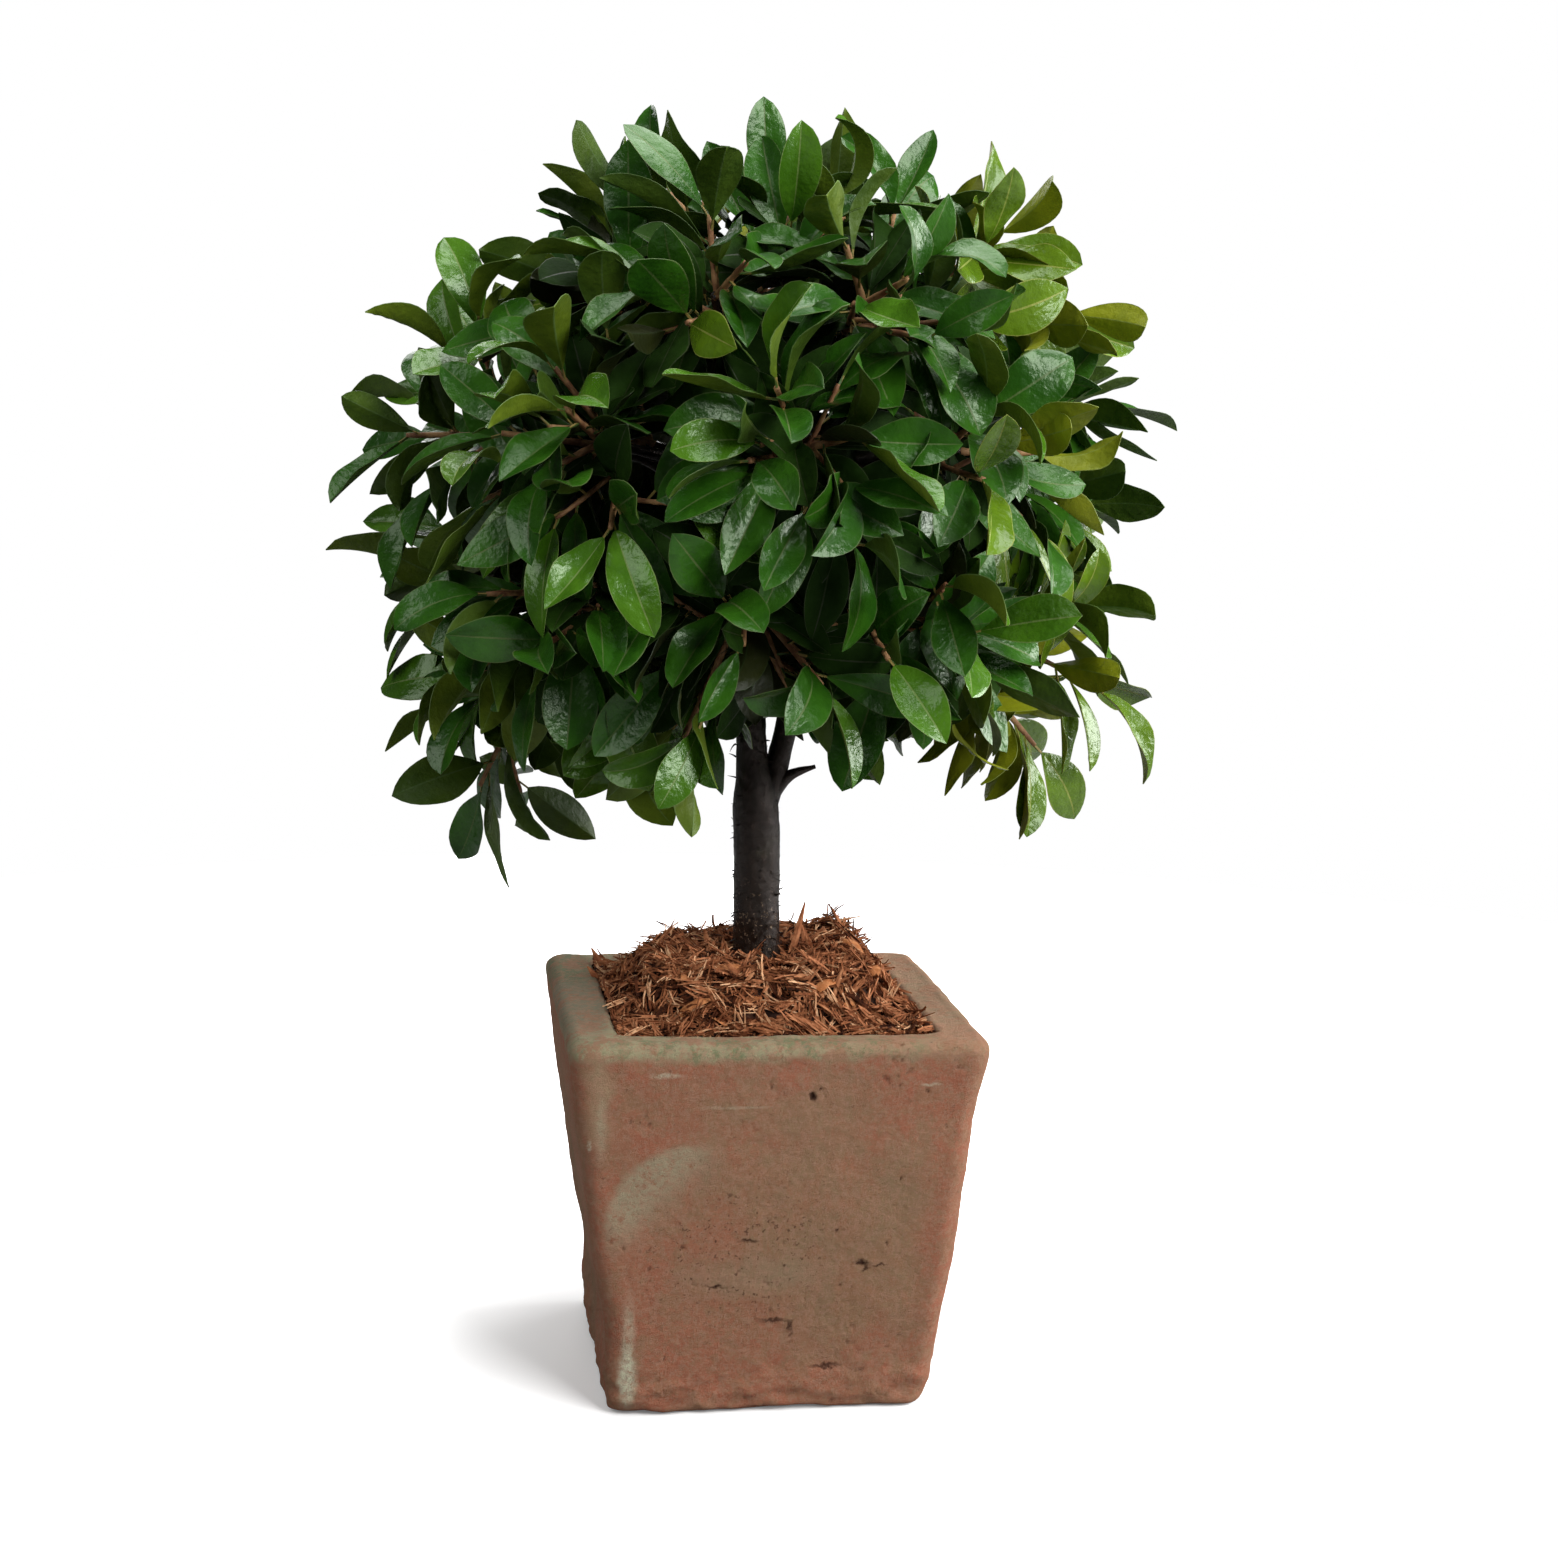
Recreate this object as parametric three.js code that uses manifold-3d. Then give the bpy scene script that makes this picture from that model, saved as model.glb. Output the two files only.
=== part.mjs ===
// A ball-headed bay topiary on one stem, in a tapered square terracotta pot with a mulch top.
// Millimetres, +Z up. The origin is the middle of the pot's flat underside and the front faces -Y.
import * as THREE from "three";
import { mergeVertices } from "three/addons/utils/BufferGeometryUtils.js";
import Module from "manifold-3d";

const wasm = await Module();
wasm.setup();

// Driving dimensions

const GAP = 0.3; // clearance between pieces that touch
const POT = {
  height: 191,
  footWidth: 154,
  rimWidth: 200,
  wall: 21,
  floor: 18,
  outerCorner: 11,
  innerCorner: 7,
  lip: 4, // rounding of the rim's and the foot's edges
};
const SOIL_TOP = 172;
const MULCH = {
  foot: SOIL_TOP + 0.5,
  edge: 188, // height at the pot's wall, a little below the rim
  peak: 214, // height at the stem
  flat: 34, // radius of the heap's middle
  bump: 1.8, // depth of its unevenness
  cells: 9,
};
// Where the heap stands higher or lower than that: behind the stem on both sides, and before it.
const HUMPS = [
  { x: 44, y: 22, rise: 12, spread: 22 },
  { x: -36, y: 24, rise: 7, spread: 24 },
  { x: 0, y: -16, rise: -3, spread: 14 },
];
const CHIP = { count: 10, length: 19, width: 4, thickness: 1.6, nearest: 28, furthest: 60 };

// The trunk's middle and radius at a few heights: the cut, the mulch, the fork, the leader's tip.
const TRUNK = [
  { x: 1, z: SOIL_TOP + GAP, radius: 13.4 },
  { x: 1, z: 192, radius: 13.1 },
  { x: 0, z: 224, radius: 12.3 },
  { x: -1, z: 266, radius: 11.5 },
  { x: -2, z: 290, radius: 10.9 },
  { x: -5, z: 316, radius: 8.2 },
  { x: -8, z: 400, radius: 6.8 },
  { x: -8, z: 506, radius: 4.6 },
];
const TRUNK_FOOT = TRUNK[0].z;
const TRUNK_TOP = TRUNK[TRUNK.length - 1].z;
const TRUNK_STEPS = 13;
const TRUNK_SIDES = 12;
const TRUNK_POINTS = 90; // where leaves are kept clear of it
const BOUGH_POINTS = 30;

const CROWN = new THREE.Vector3(-8, 1, 455); // the middle of the head
const BOUGH = {
  reach: 64, // of its tip from the middle of the head
  straight: 29, // its last stretch
  rise: 44, // from its root to its tip
  rootRadius: 3.6,
  tipRadius: 2.8,
  stagger: 6, // between the roots of a ring, one place apart
  skip: 3, // places from one root to the next one round
  steps: 3,
  sides: 5,
};
// The limb of the trunk's fork, which one of the masses has for a bough, and the cut twig on it.
const FORK_LIMB = { mass: "middle_right", rootHeight: 276, rootRadius: 6.6, steps: 8 };
const STUB = { at: 0.2, length: 15, rise: 5, rootRadius: 3.2, tipRadius: 1.9, sides: 6, steps: 3 };
const LIMB_CLEARANCE = 3; // between leaves and limbs
const STEM = { end: 112, tipRadius: 2.1, sides: 5 };
const CORE = { inner: 70, outer: 112, bulge: 8, widest: 34, sides: 6, clearance: 2 };
const TWIG = {
  radius: 2.2,
  first: 0.4, // where on the stem the lowest may start, as a share
  last: 0.9,
  end: 0.95, // where one in line with the stem starts
  inLine: 10, // degrees
};
const LEAF = {
  length: 53,
  width: 0.52, // share of the length
  widest: 0.54, // where along the leaf, as a share
  rise: 0.07, // how far its sides rise over the midrib, as a share
  thickness: 1.1,
  overhang: 43, // how far a spray's leaves reach past its twig
  spacing: 6.6, // along the twig
  lowestRoot: 108, // no leaf is rooted nearer than this to the middle of the head
  opening: 30, // degrees from the twig, at its tip
  openingStep: 7,
  openingSpread: 10,
  hang: 0.1, // how far its weight turns it down
  smallest: 0.86, // shares of the length
  largest: 1.1,
  mostOnSpray: 8,
  firstRoot: 1.5, // back from the twig's tip
  roll: 0.5, // radians, about its own length
  stray: 0.7, // radians, from its rank
  tries: 6, // places tried for a leaf, two in each rank
  widerTry: 0.4, // radians that the second opens further
};
const LEAF_SPAN = 1.5 * LEAF.length; // leaves further apart than this can't cross
const SPRAYS = {
  count: 100,
  lowest: -76, // degrees
  seed: 41,
  jitter: 0.3, // radians
  shortest: 0.94, // share of the mass's reach
  apart: 12, // degrees kept free round an outlying spray
  underside: 0.34, // how much shorter a spray that points straight down is
  gather: 0.15, // how far each spray is drawn towards the middle of its mass
};
const GOLDEN_ANGLE = Math.PI * (3 - Math.sqrt(5));
const RANK_ANGLE = (2 * Math.PI) / 3; // between the three ranks of leaves on a twig
const SPACE_MARGIN = 0.6; // each mass keeps this far inside its own space

// The masses of foliage, in rings round the head: the azimuth of the first, from the front towards
// the right, their elevation, and the reach of their leaf tips from the middle of the head.
const RINGS = [
  { level: "crown", first: 0, elevation: 88, sides: ["top"], reaches: [186] },
  {
    level: "upper",
    first: -24,
    elevation: 49,
    sides: ["front", "front_right", "right", "back_right", "back_left", "left"],
    reaches: [186, 186, 192, 190, 188, 186],
  },
  {
    level: "middle",
    first: 3,
    elevation: 8,
    sides: ["front", "front_right", "right", "back_right", "back_left", "left", "front_left"],
    reaches: [190, 196, 204, 200, 200, 212, 200],
  },
  {
    level: "lower",
    first: -9,
    elevation: -38,
    sides: ["front", "front_right", "right", "back_right", "back_left", "left", "front_left"],
    reaches: [196, 204, 222, 212, 212, 230, 214],
  },
];
// The sprays that stand out of the head: azimuth, elevation and the reach of their tips.
const OUTLYING = [
  [265, 5, 228],
  [251, -20, 226],
  [257, -38, 230],
  [254, -53, 270],
  [262, 60, 190],
  [81, 46, 192],
  [92, 19, 211],
  [90, -2, 206],
  [84, -30, 252],
  [86, -46, 250],
  [-16, -56, 192],
  [10, -46, 190],
];

const COLOURS = {
  terracotta: 0x9a6350,
  soil: 0x3a2a20,
  mulch: 0x8a5233,
  bark: 0x2b2421,
  leaf: 0x2c5a28,
};

// Small tools

// A seeded stream of numbers from 0 to 1, the same on every run.
function seededStream(seed) {
  let state = seed >>> 0;
  const draw = () => {
    state = (Math.imul(state, 1664525) + 1013904223) >>> 0;
    return state / 4294967296;
  };
  draw();
  draw();
  return draw;
}

function solidOf(geometry) {
  const bare = geometry.clone();
  bare.deleteAttribute("normal");
  bare.deleteAttribute("uv");
  const merged = mergeVertices(bare, 1e-3);
  return new wasm.Manifold(
    new wasm.Mesh({
      numProp: 3,
      vertProperties: merged.attributes.position.array,
      triVerts: new Uint32Array(merged.index.array),
    }),
  );
}

// The largest body of a solid as a geometry: scraps and sealed hollows are left behind.
function geometryOf(solid) {
  const bodies = solid.decompose();
  const main = bodies.reduce((best, body) => (body.volume() > best.volume() ? body : best));
  const mesh = main.getMesh();
  const geometry = new THREE.BufferGeometry();
  geometry.setAttribute("position", new THREE.BufferAttribute(mesh.vertProperties, 3));
  geometry.setIndex(new THREE.BufferAttribute(mesh.triVerts, 1));
  geometry.computeVertexNormals();
  return geometry;
}

function materialOf(colour, roughness) {
  return new THREE.MeshStandardMaterial({ color: colour, roughness, metalness: 0 });
}

const topiary = new THREE.Group();

function addNode(name, solid, material) {
  const mesh = new THREE.Mesh(geometryOf(solid), material);
  mesh.name = name;
  topiary.add(mesh);
}

// Pot, soil and mulch

function roundedSquare(width, radius) {
  const centre = width / 2 - radius;
  const shape = new THREE.Shape();
  shape.absarc(centre, -centre, radius, -Math.PI / 2, 0);
  shape.absarc(centre, centre, radius, 0, Math.PI / 2);
  shape.absarc(-centre, centre, radius, Math.PI / 2, Math.PI);
  shape.absarc(-centre, -centre, radius, Math.PI, 1.5 * Math.PI);
  return shape;
}

// A square block that tapers from its top down to its foot, with rounded edges if lip is over 0.
function taperedBlock({ footWidth, topWidth, footZ, topZ, corner, lip }) {
  const geometry = new THREE.ExtrudeGeometry(roundedSquare(topWidth - 2 * lip, corner - lip), {
    depth: topZ - footZ - 2 * lip,
    bevelEnabled: lip > 0,
    bevelThickness: lip,
    bevelSize: lip,
    bevelSegments: 2,
    curveSegments: 3,
  });
  geometry.translate(0, 0, footZ + lip);
  const position = geometry.getAttribute("position");
  for (let i = 0; i < position.count; i += 1) {
    const down = (topZ - position.getZ(i)) / (topZ - footZ);
    const scale = 1 + down * (footWidth / topWidth - 1);
    position.setXY(i, position.getX(i) * scale, position.getY(i) * scale);
  }
  return geometry;
}

// The well's width at a height, and a block that fills it between two heights.
const WELL_FOOT = POT.footWidth - 2 * POT.wall;
const WELL_TOP = POT.rimWidth - 2 * POT.wall;

function wellWidth(z) {
  return WELL_FOOT + ((WELL_TOP - WELL_FOOT) * (z - POT.floor)) / (POT.height - POT.floor);
}

function wellBlock(footZ, topZ, clearance) {
  return solidOf(
    taperedBlock({
      footWidth: wellWidth(footZ) - 2 * clearance,
      topWidth: wellWidth(topZ) - 2 * clearance,
      footZ,
      topZ,
      corner: POT.innerCorner,
      lip: 0,
    }),
  );
}

function potSolid() {
  const outside = taperedBlock({
    footWidth: POT.footWidth,
    topWidth: POT.rimWidth,
    footZ: 0,
    topZ: POT.height,
    corner: POT.outerCorner,
    lip: POT.lip,
  });
  return solidOf(outside).subtract(wellBlock(POT.floor, POT.height + 10, 0));
}

// The height of the heap: from the wall up to the stem, with the humps and a small unevenness.
function mulchHeight(x, y) {
  const half = wellWidth(POT.height) / 2;
  const out = Math.max(Math.abs(x), Math.abs(y), Math.hypot(x, y) * 0.9);
  const heap = 1 - THREE.MathUtils.smoothstep(out, MULCH.flat, half);
  const uneven = MULCH.bump * Math.sin(x * 0.16 + y * 0.05) * Math.cos(y * 0.13 - x * 0.07);
  const rises = HUMPS.map((hump) => {
    const away = Math.hypot(x - hump.x, y - hump.y) / hump.spread;
    return hump.rise * Math.exp(-away * away);
  });
  const rise = rises.reduce((sum, each) => sum + each, uneven);
  return THREE.MathUtils.lerp(MULCH.edge, MULCH.peak, heap) + rise * Math.min(1, 3 * heap);
}

// The heap as a block with an uneven top, wider than the well that it is trimmed to.
function mulchMound() {
  const geometry = new THREE.BoxGeometry(1, 1, 1, MULCH.cells, MULCH.cells, 1);
  const width = 1.1 * wellWidth(POT.height);
  geometry.scale(width, width, 1);
  const position = geometry.getAttribute("position");
  for (let i = 0; i < position.count; i += 1) {
    const isTop = position.getZ(i) > 0;
    position.setZ(i, isTop ? mulchHeight(position.getX(i), position.getY(i)) : SOIL_TOP);
  }
  return solidOf(geometry);
}

// One splinter of bark lying on the heap, with its lower end sunk into it.
function mulchChip(draw) {
  const angle = 2 * Math.PI * draw();
  const distance = THREE.MathUtils.lerp(CHIP.nearest, CHIP.furthest, draw());
  const x = Math.cos(angle) * distance;
  const y = Math.sin(angle) * distance;
  const length = CHIP.length * THREE.MathUtils.lerp(0.7, 1.2, draw());
  const geometry = new THREE.BoxGeometry(length, CHIP.width, CHIP.thickness);
  geometry.rotateX(draw());
  geometry.rotateY(-THREE.MathUtils.lerp(0.1, 0.75, draw() ** 2));
  geometry.rotateZ(2 * Math.PI * draw());
  geometry.translate(x, y, mulchHeight(x, y) + CHIP.thickness / 4);
  return solidOf(geometry);
}

// Limbs

// A closed tapering tube along a curve: a cylinder whose rings are laid along it.
function limbGeometry(curve, radiusAt, sides, steps) {
  const geometry = new THREE.CylinderGeometry(1, 1, 1, sides, steps);
  const frames = curve.computeFrenetFrames(steps);
  const position = geometry.getAttribute("position");
  const at = new THREE.Vector3();
  for (let i = 0; i < position.count; i += 1) {
    const share = THREE.MathUtils.clamp(position.getY(i) + 0.5, 0, 1);
    const ring = Math.round(share * steps);
    const radius = radiusAt(share);
    curve.getPointAt(share, at);
    at.addScaledVector(frames.normals[ring], position.getX(i) * radius);
    at.addScaledVector(frames.binormals[ring], -position.getZ(i) * radius);
    position.setXYZ(i, at.x, at.y, at.z);
  }
  return geometry;
}

// The trunk's middle and radius at a height, straight between the heights that TRUNK names.
function trunkAt(height) {
  const z = THREE.MathUtils.clamp(height, TRUNK_FOOT, TRUNK_TOP);
  const above = Math.max(1, TRUNK.findIndex((ring) => ring.z >= z));
  const low = TRUNK[above - 1];
  const high = TRUNK[above];
  const share = (z - low.z) / (high.z - low.z);
  return {
    middle: new THREE.Vector3(THREE.MathUtils.lerp(low.x, high.x, share), 0, z),
    radius: THREE.MathUtils.lerp(low.radius, high.radius, share),
  };
}

// The trunk up to the leader's tip, thicker all round by a clearance.
function trunkSolid(clearance) {
  const geometry = new THREE.CylinderGeometry(1, 1, 1, TRUNK_SIDES, TRUNK_STEPS);
  geometry.rotateX(Math.PI / 2);
  const position = geometry.getAttribute("position");
  for (let i = 0; i < position.count; i += 1) {
    const z = THREE.MathUtils.lerp(TRUNK_FOOT, TRUNK_TOP, position.getZ(i) + 0.5);
    const { middle, radius } = trunkAt(z);
    const out = radius + clearance;
    position.setXYZ(i, middle.x + position.getX(i) * out, position.getY(i) * out, z);
  }
  return solidOf(geometry);
}

// The direction of an azimuth and elevation, in degrees.
function directionTo(azimuth, elevation) {
  const a = THREE.MathUtils.degToRad(azimuth);
  const e = THREE.MathUtils.degToRad(elevation);
  return new THREE.Vector3(Math.sin(a) * Math.cos(e), -Math.cos(a) * Math.cos(e), Math.sin(e));
}

// Every mass with its direction, its reach, the tip of its bough and an empty list of sprays.
function layOutMasses() {
  const masses = [];
  for (const ring of RINGS) {
    const count = ring.sides.length;
    ring.sides.forEach((side, i) => {
      const direction = directionTo(ring.first + (360 / count) * i, ring.elevation);
      const step = ((i * BOUGH.skip) % count) - (count - 1) / 2;
      masses.push({
        name: ring.level + "_" + side,
        seed: 100 + masses.length * 7,
        rootHeight: CROWN.z + direction.z * BOUGH.reach - BOUGH.rise + step * BOUGH.stagger,
        direction,
        reach: ring.reaches[i],
        tip: CROWN.clone().addScaledVector(direction, BOUGH.reach),
        sprays: [],
      });
    });
  }
  return masses;
}

// The line of a mass's bough: out of the trunk below its tip, then out along its direction.
function boughCurve(mass) {
  const root = trunkAt(mass.rootHeight).middle;
  const knee = mass.tip.clone().addScaledVector(mass.direction, -BOUGH.straight);
  return new THREE.QuadraticBezierCurve3(root, knee, mass.tip);
}

// The line of the fork's limb: close beside the leader at first, and then out to its mass.
function forkCurve(mass) {
  const root = trunkAt(FORK_LIMB.rootHeight).middle;
  const out = new THREE.Vector3(mass.direction.x, mass.direction.y, 0).normalize();
  const up = new THREE.Vector3(0, 0, 1);
  return new THREE.CatmullRomCurve3([
    root,
    root.clone().addScaledVector(out, 13).addScaledVector(up, 26),
    root.clone().addScaledVector(out, 29).addScaledVector(up, 82),
    mass.tip.clone().addScaledVector(mass.direction, -26).addScaledVector(up, -12),
    mass.tip.clone().addScaledVector(mass.direction, -9),
    mass.tip,
  ]);
}

function layOutBough(mass) {
  const forked = mass.name === FORK_LIMB.mass;
  return {
    mass,
    forked,
    curve: forked ? forkCurve(mass) : boughCurve(mass),
    rootRadius: forked ? FORK_LIMB.rootRadius : BOUGH.rootRadius,
    steps: forked ? FORK_LIMB.steps : BOUGH.steps,
  };
}

// A bough, thicker all round by a clearance.
function boughSolid({ curve, rootRadius, steps }, clearance) {
  const radiusAt = (share) => THREE.MathUtils.lerp(rootRadius, BOUGH.tipRadius, share) + clearance;
  return solidOf(limbGeometry(curve, radiusAt, BOUGH.sides, steps));
}

// The cut twig that sticks out of the fork's limb to the right.
function stubSolid(bough) {
  const foot = bough.curve.getPointAt(STUB.at);
  const knee = foot.clone().add(new THREE.Vector3(STUB.length / 2, -1, -1));
  const tip = foot.clone().add(new THREE.Vector3(STUB.length, -2, STUB.rise));
  const curve = new THREE.QuadraticBezierCurve3(foot, knee, tip);
  const radiusAt = (share) => THREE.MathUtils.lerp(STUB.rootRadius, STUB.tipRadius, share);
  return solidOf(limbGeometry(curve, radiusAt, STUB.sides, STUB.steps));
}

// Points along every limb, with the limb's radius there.
function limbPoints(boughs) {
  const trunkPoints = Array.from({ length: TRUNK_POINTS }, (_, i) => {
    const { middle, radius } = trunkAt(THREE.MathUtils.lerp(TRUNK_FOOT, TRUNK_TOP, i / (TRUNK_POINTS - 1)));
    return { at: middle, radius };
  });
  const boughPoints = boughs.flatMap(({ curve, rootRadius }) =>
    curve.getSpacedPoints(BOUGH_POINTS).map((at, i) => {
      return { at, radius: THREE.MathUtils.lerp(rootRadius, BOUGH.tipRadius, i / BOUGH_POINTS) };
    }),
  );
  return [...trunkPoints, ...boughPoints];
}

// Foliage

function massNearest(direction, masses) {
  const closeness = masses.map((mass) => mass.direction.dot(direction));
  return masses[closeness.indexOf(Math.max(...closeness))];
}

// Spreads the sprays evenly over the head, as seeds sit on a sunflower, and gives each to the mass
// whose space it lies in. An outlying spray takes the place of those beside it.
function shareOutSprays(masses) {
  const draw = seededStream(SPRAYS.seed);
  const outlying = OUTLYING.map(([azimuth, elevation, reach]) => {
    return { direction: directionTo(azimuth, elevation), reach };
  });
  const apart = THREE.MathUtils.degToRad(SPRAYS.apart);
  const lowest = Math.sin(THREE.MathUtils.degToRad(SPRAYS.lowest));
  for (let i = 0; i < SPRAYS.count; i += 1) {
    const up = 1 - ((i + 0.5) / SPRAYS.count) * (1 - lowest);
    const turn = i * GOLDEN_ANGLE + SPRAYS.jitter * (draw() - 0.5);
    const share = THREE.MathUtils.lerp(SPRAYS.shortest, 1, draw());
    const direction = directionTo(THREE.MathUtils.radToDeg(turn), THREE.MathUtils.radToDeg(Math.asin(up)));
    if (outlying.some((spray) => spray.direction.angleTo(direction) < apart)) continue;
    const mass = massNearest(direction, masses);
    const under = THREE.MathUtils.smoothstep(-up, 0.5, 1);
    const reach = mass.reach * share * (1 - SPRAYS.underside * under);
    direction.lerp(mass.direction, SPRAYS.gather).normalize();
    mass.sprays.push({ direction, reach });
  }
  for (const spray of outlying) {
    massNearest(spray.direction, masses).sprays.push(spray);
  }
}

// Whether a point keeps to a mass's own space, the cone of directions nearest to its own.
function isInSpace(point, mass, head) {
  const out = point.clone().sub(CROWN);
  return head.masses.every((other) => {
    if (other === mass) return true;
    const across = mass.direction.clone().sub(other.direction);
    return out.dot(across) >= SPACE_MARGIN * across.length();
  });
}

function touchesLimb(point, head) {
  return head.limbs.some((limb) => limb.at.distanceTo(point) < limb.radius + LIMB_CLEARANCE);
}

// The corners of a leaf: its two sides, and the top and foot of its midrib at the root and the tip.
function leafCorners(leaf) {
  const across = new THREE.Vector3().crossVectors(leaf.normal, leaf.axis);
  const place = (along, side, up) =>
    leaf.root
      .clone()
      .addScaledVector(leaf.axis, along * leaf.length)
      .addScaledVector(across, side * leaf.length)
      .addScaledVector(leaf.normal, up);
  const rise = LEAF.rise * leaf.length;
  const half = LEAF.width / 2;
  return {
    rootTop: place(0, 0, LEAF.thickness / 2),
    rootFoot: place(0, 0, -LEAF.thickness / 2),
    left: place(LEAF.widest, half, rise),
    right: place(LEAF.widest, -half, rise),
    tipTop: place(1, 0, LEAF.thickness / 2),
    tipFoot: place(1, 0, -LEAF.thickness / 2),
  };
}

// An octahedron whose corners are pulled to the leaf's.
function leafSolid(corners) {
  const geometry = new THREE.OctahedronGeometry(1);
  const position = geometry.getAttribute("position");
  const { rootTop, rootFoot, left, right, tipTop, tipFoot } = corners;
  for (let i = 0; i < position.count; i += 1) {
    const x = Math.round(position.getX(i));
    const y = Math.round(position.getY(i));
    const z = Math.round(position.getZ(i));
    const ends = x > 0 ? tipTop : rootFoot;
    const sides = y > 0 ? left : right;
    const middles = z > 0 ? rootTop : tipFoot;
    const corner = x !== 0 ? ends : y !== 0 ? sides : middles;
    position.setXYZ(i, corner.x, corner.y, corner.z);
  }
  return solidOf(geometry);
}

function leafEdges({ rootTop, tipTop, left, right }) {
  return [[rootTop, left], [left, tipTop], [rootTop, right], [right, tipTop], [rootTop, tipTop]];
}

function leafFaces({ rootTop, tipTop, left, right }) {
  return [[rootTop, left, tipTop], [tipTop, right, rootTop]];
}

// Whether the straight line between two points passes through a face.
function passesThrough([from, to], [a, b, c]) {
  const way = to.clone().sub(from);
  const length = way.length();
  const hit = new THREE.Ray(from, way.normalize()).intersectTriangle(a, b, c, false, new THREE.Vector3());
  return hit !== null && hit.distanceTo(from) <= length;
}

function cross(edges, faces) {
  return edges.some((edge) => faces.some((face) => passesThrough(edge, face)));
}

// Whether a leaf keeps to its mass's space and is clear of the limbs, twigs and earlier leaves.
function isFree(corners, mass, head, twigs, leaves) {
  const middles = leafEdges(corners).map(([a, b]) => a.clone().lerp(b, 0.5));
  const points = [corners.left, corners.right, corners.tipTop, corners.tipFoot, ...middles];
  if (!points.every((point) => isInSpace(point, mass, head) && !touchesLimb(point, head))) return false;
  if (cross(twigs, leafFaces(corners))) return false;
  return leaves.every((other) => {
    if (other.left.distanceTo(corners.left) > LEAF_SPAN) return true;
    return !cross(leafEdges(corners), leafFaces(other)) && !cross(leafEdges(other), leafFaces(corners));
  });
}

// Two directions square to a spray's twig and to each other.
function twigSides(spray) {
  const along = spray.tip.clone().sub(spray.root).normalize();
  const level = new THREE.Vector3(0, 0, 1).cross(along).normalize();
  return { along, level, steep: new THREE.Vector3().crossVectors(along, level) };
}

// The leaf at one place on a spray, as its corners: outwards of the twig by its opening, and with
// its upper face towards the spray's tip.
function leafAt(spray, { fromTip, opening, around, roll, length }) {
  const { along, level, steep } = twigSides(spray);
  const outwards = level.multiplyScalar(Math.cos(around)).addScaledVector(steep, Math.sin(around));
  const axis = along.clone().multiplyScalar(Math.cos(opening)).addScaledVector(outwards, Math.sin(opening));
  axis.z -= LEAF.hang;
  axis.normalize();
  const normal = along.clone().addScaledVector(axis, -along.dot(axis)).normalize();
  normal.applyAxisAngle(axis, roll);
  const root = spray.tip.clone().addScaledVector(along, -fromTip);
  return leafCorners({ root, axis, normal, length });
}

// The leaves of a spray, from its tip inwards, in three loose ranks round the twig. One that isn't
// free is tried in the other ranks, and skipped if none has room.
function growLeaves(spray, mass, head, twigs, leaves, draw) {
  for (let i = 0; i < LEAF.mostOnSpray; i += 1) {
    const length = LEAF.length * THREE.MathUtils.lerp(LEAF.smallest, LEAF.largest, draw());
    const degrees = LEAF.opening + LEAF.openingStep * i + LEAF.openingSpread * draw();
    const roll = LEAF.roll * (draw() - 0.5);
    const stray = LEAF.stray * (draw() - 0.5);
    const fromTip = LEAF.firstRoot + i * LEAF.spacing;
    if (spray.tip.distanceTo(CROWN) - fromTip < LEAF.lowestRoot) break;
    for (let turn = 0; turn < LEAF.tries; turn += 1) {
      const around = spray.start + (i + turn) * RANK_ANGLE + stray;
      const opening = THREE.MathUtils.degToRad(degrees) + LEAF.widerTry * Math.floor(turn / 3);
      const corners = leafAt(spray, { fromTip, opening, around, roll, length });
      if (isFree(corners, mass, head, twigs, leaves)) {
        leaves.push(corners);
        break;
      }
    }
  }
}

// Sets out the stem and twigs of a mass. Each twig leaves the stem in a seeded place.
function setOutTwigs(mass, draw) {
  mass.stem = [
    mass.tip.clone().addScaledVector(mass.direction, GAP),
    CROWN.clone().addScaledVector(mass.direction, STEM.end),
  ];
  const inLine = THREE.MathUtils.degToRad(TWIG.inLine);
  for (const spray of mass.sprays) {
    const isInLine = spray.direction.angleTo(mass.direction) < inLine;
    const share = isInLine ? TWIG.end : THREE.MathUtils.lerp(TWIG.first, TWIG.last, draw());
    spray.root = mass.stem[0].clone().lerp(mass.stem[1], share);
    spray.tip = CROWN.clone().addScaledVector(spray.direction, spray.reach - LEAF.overhang);
    spray.start = 2 * Math.PI * draw();
  }
}

// Grows a mass: its stem and twigs, and then its leaves, spray by spray.
function growMass(mass, head) {
  const draw = seededStream(mass.seed);
  setOutTwigs(mass, draw);
  const leaves = [];
  for (const spray of mass.sprays) {
    const others = mass.sprays.filter((other) => other !== spray);
    const twigs = [mass.stem, ...others.map((other) => [other.root, other.tip])];
    growLeaves(spray, mass, head, twigs, leaves, draw);
  }
  return leaves;
}

// The widest angle off a mass's direction, towards one side, that stays in the mass's space.
function widestAngle(mass, head, side) {
  let angle = CORE.widest;
  for (; angle > 0; angle -= 1) {
    const turned = mass.direction.clone().applyAxisAngle(side, THREE.MathUtils.degToRad(angle));
    if (isInSpace(turned.multiplyScalar(CORE.inner).add(CROWN), mass, head)) break;
  }
  return THREE.MathUtils.degToRad(angle);
}

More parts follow.
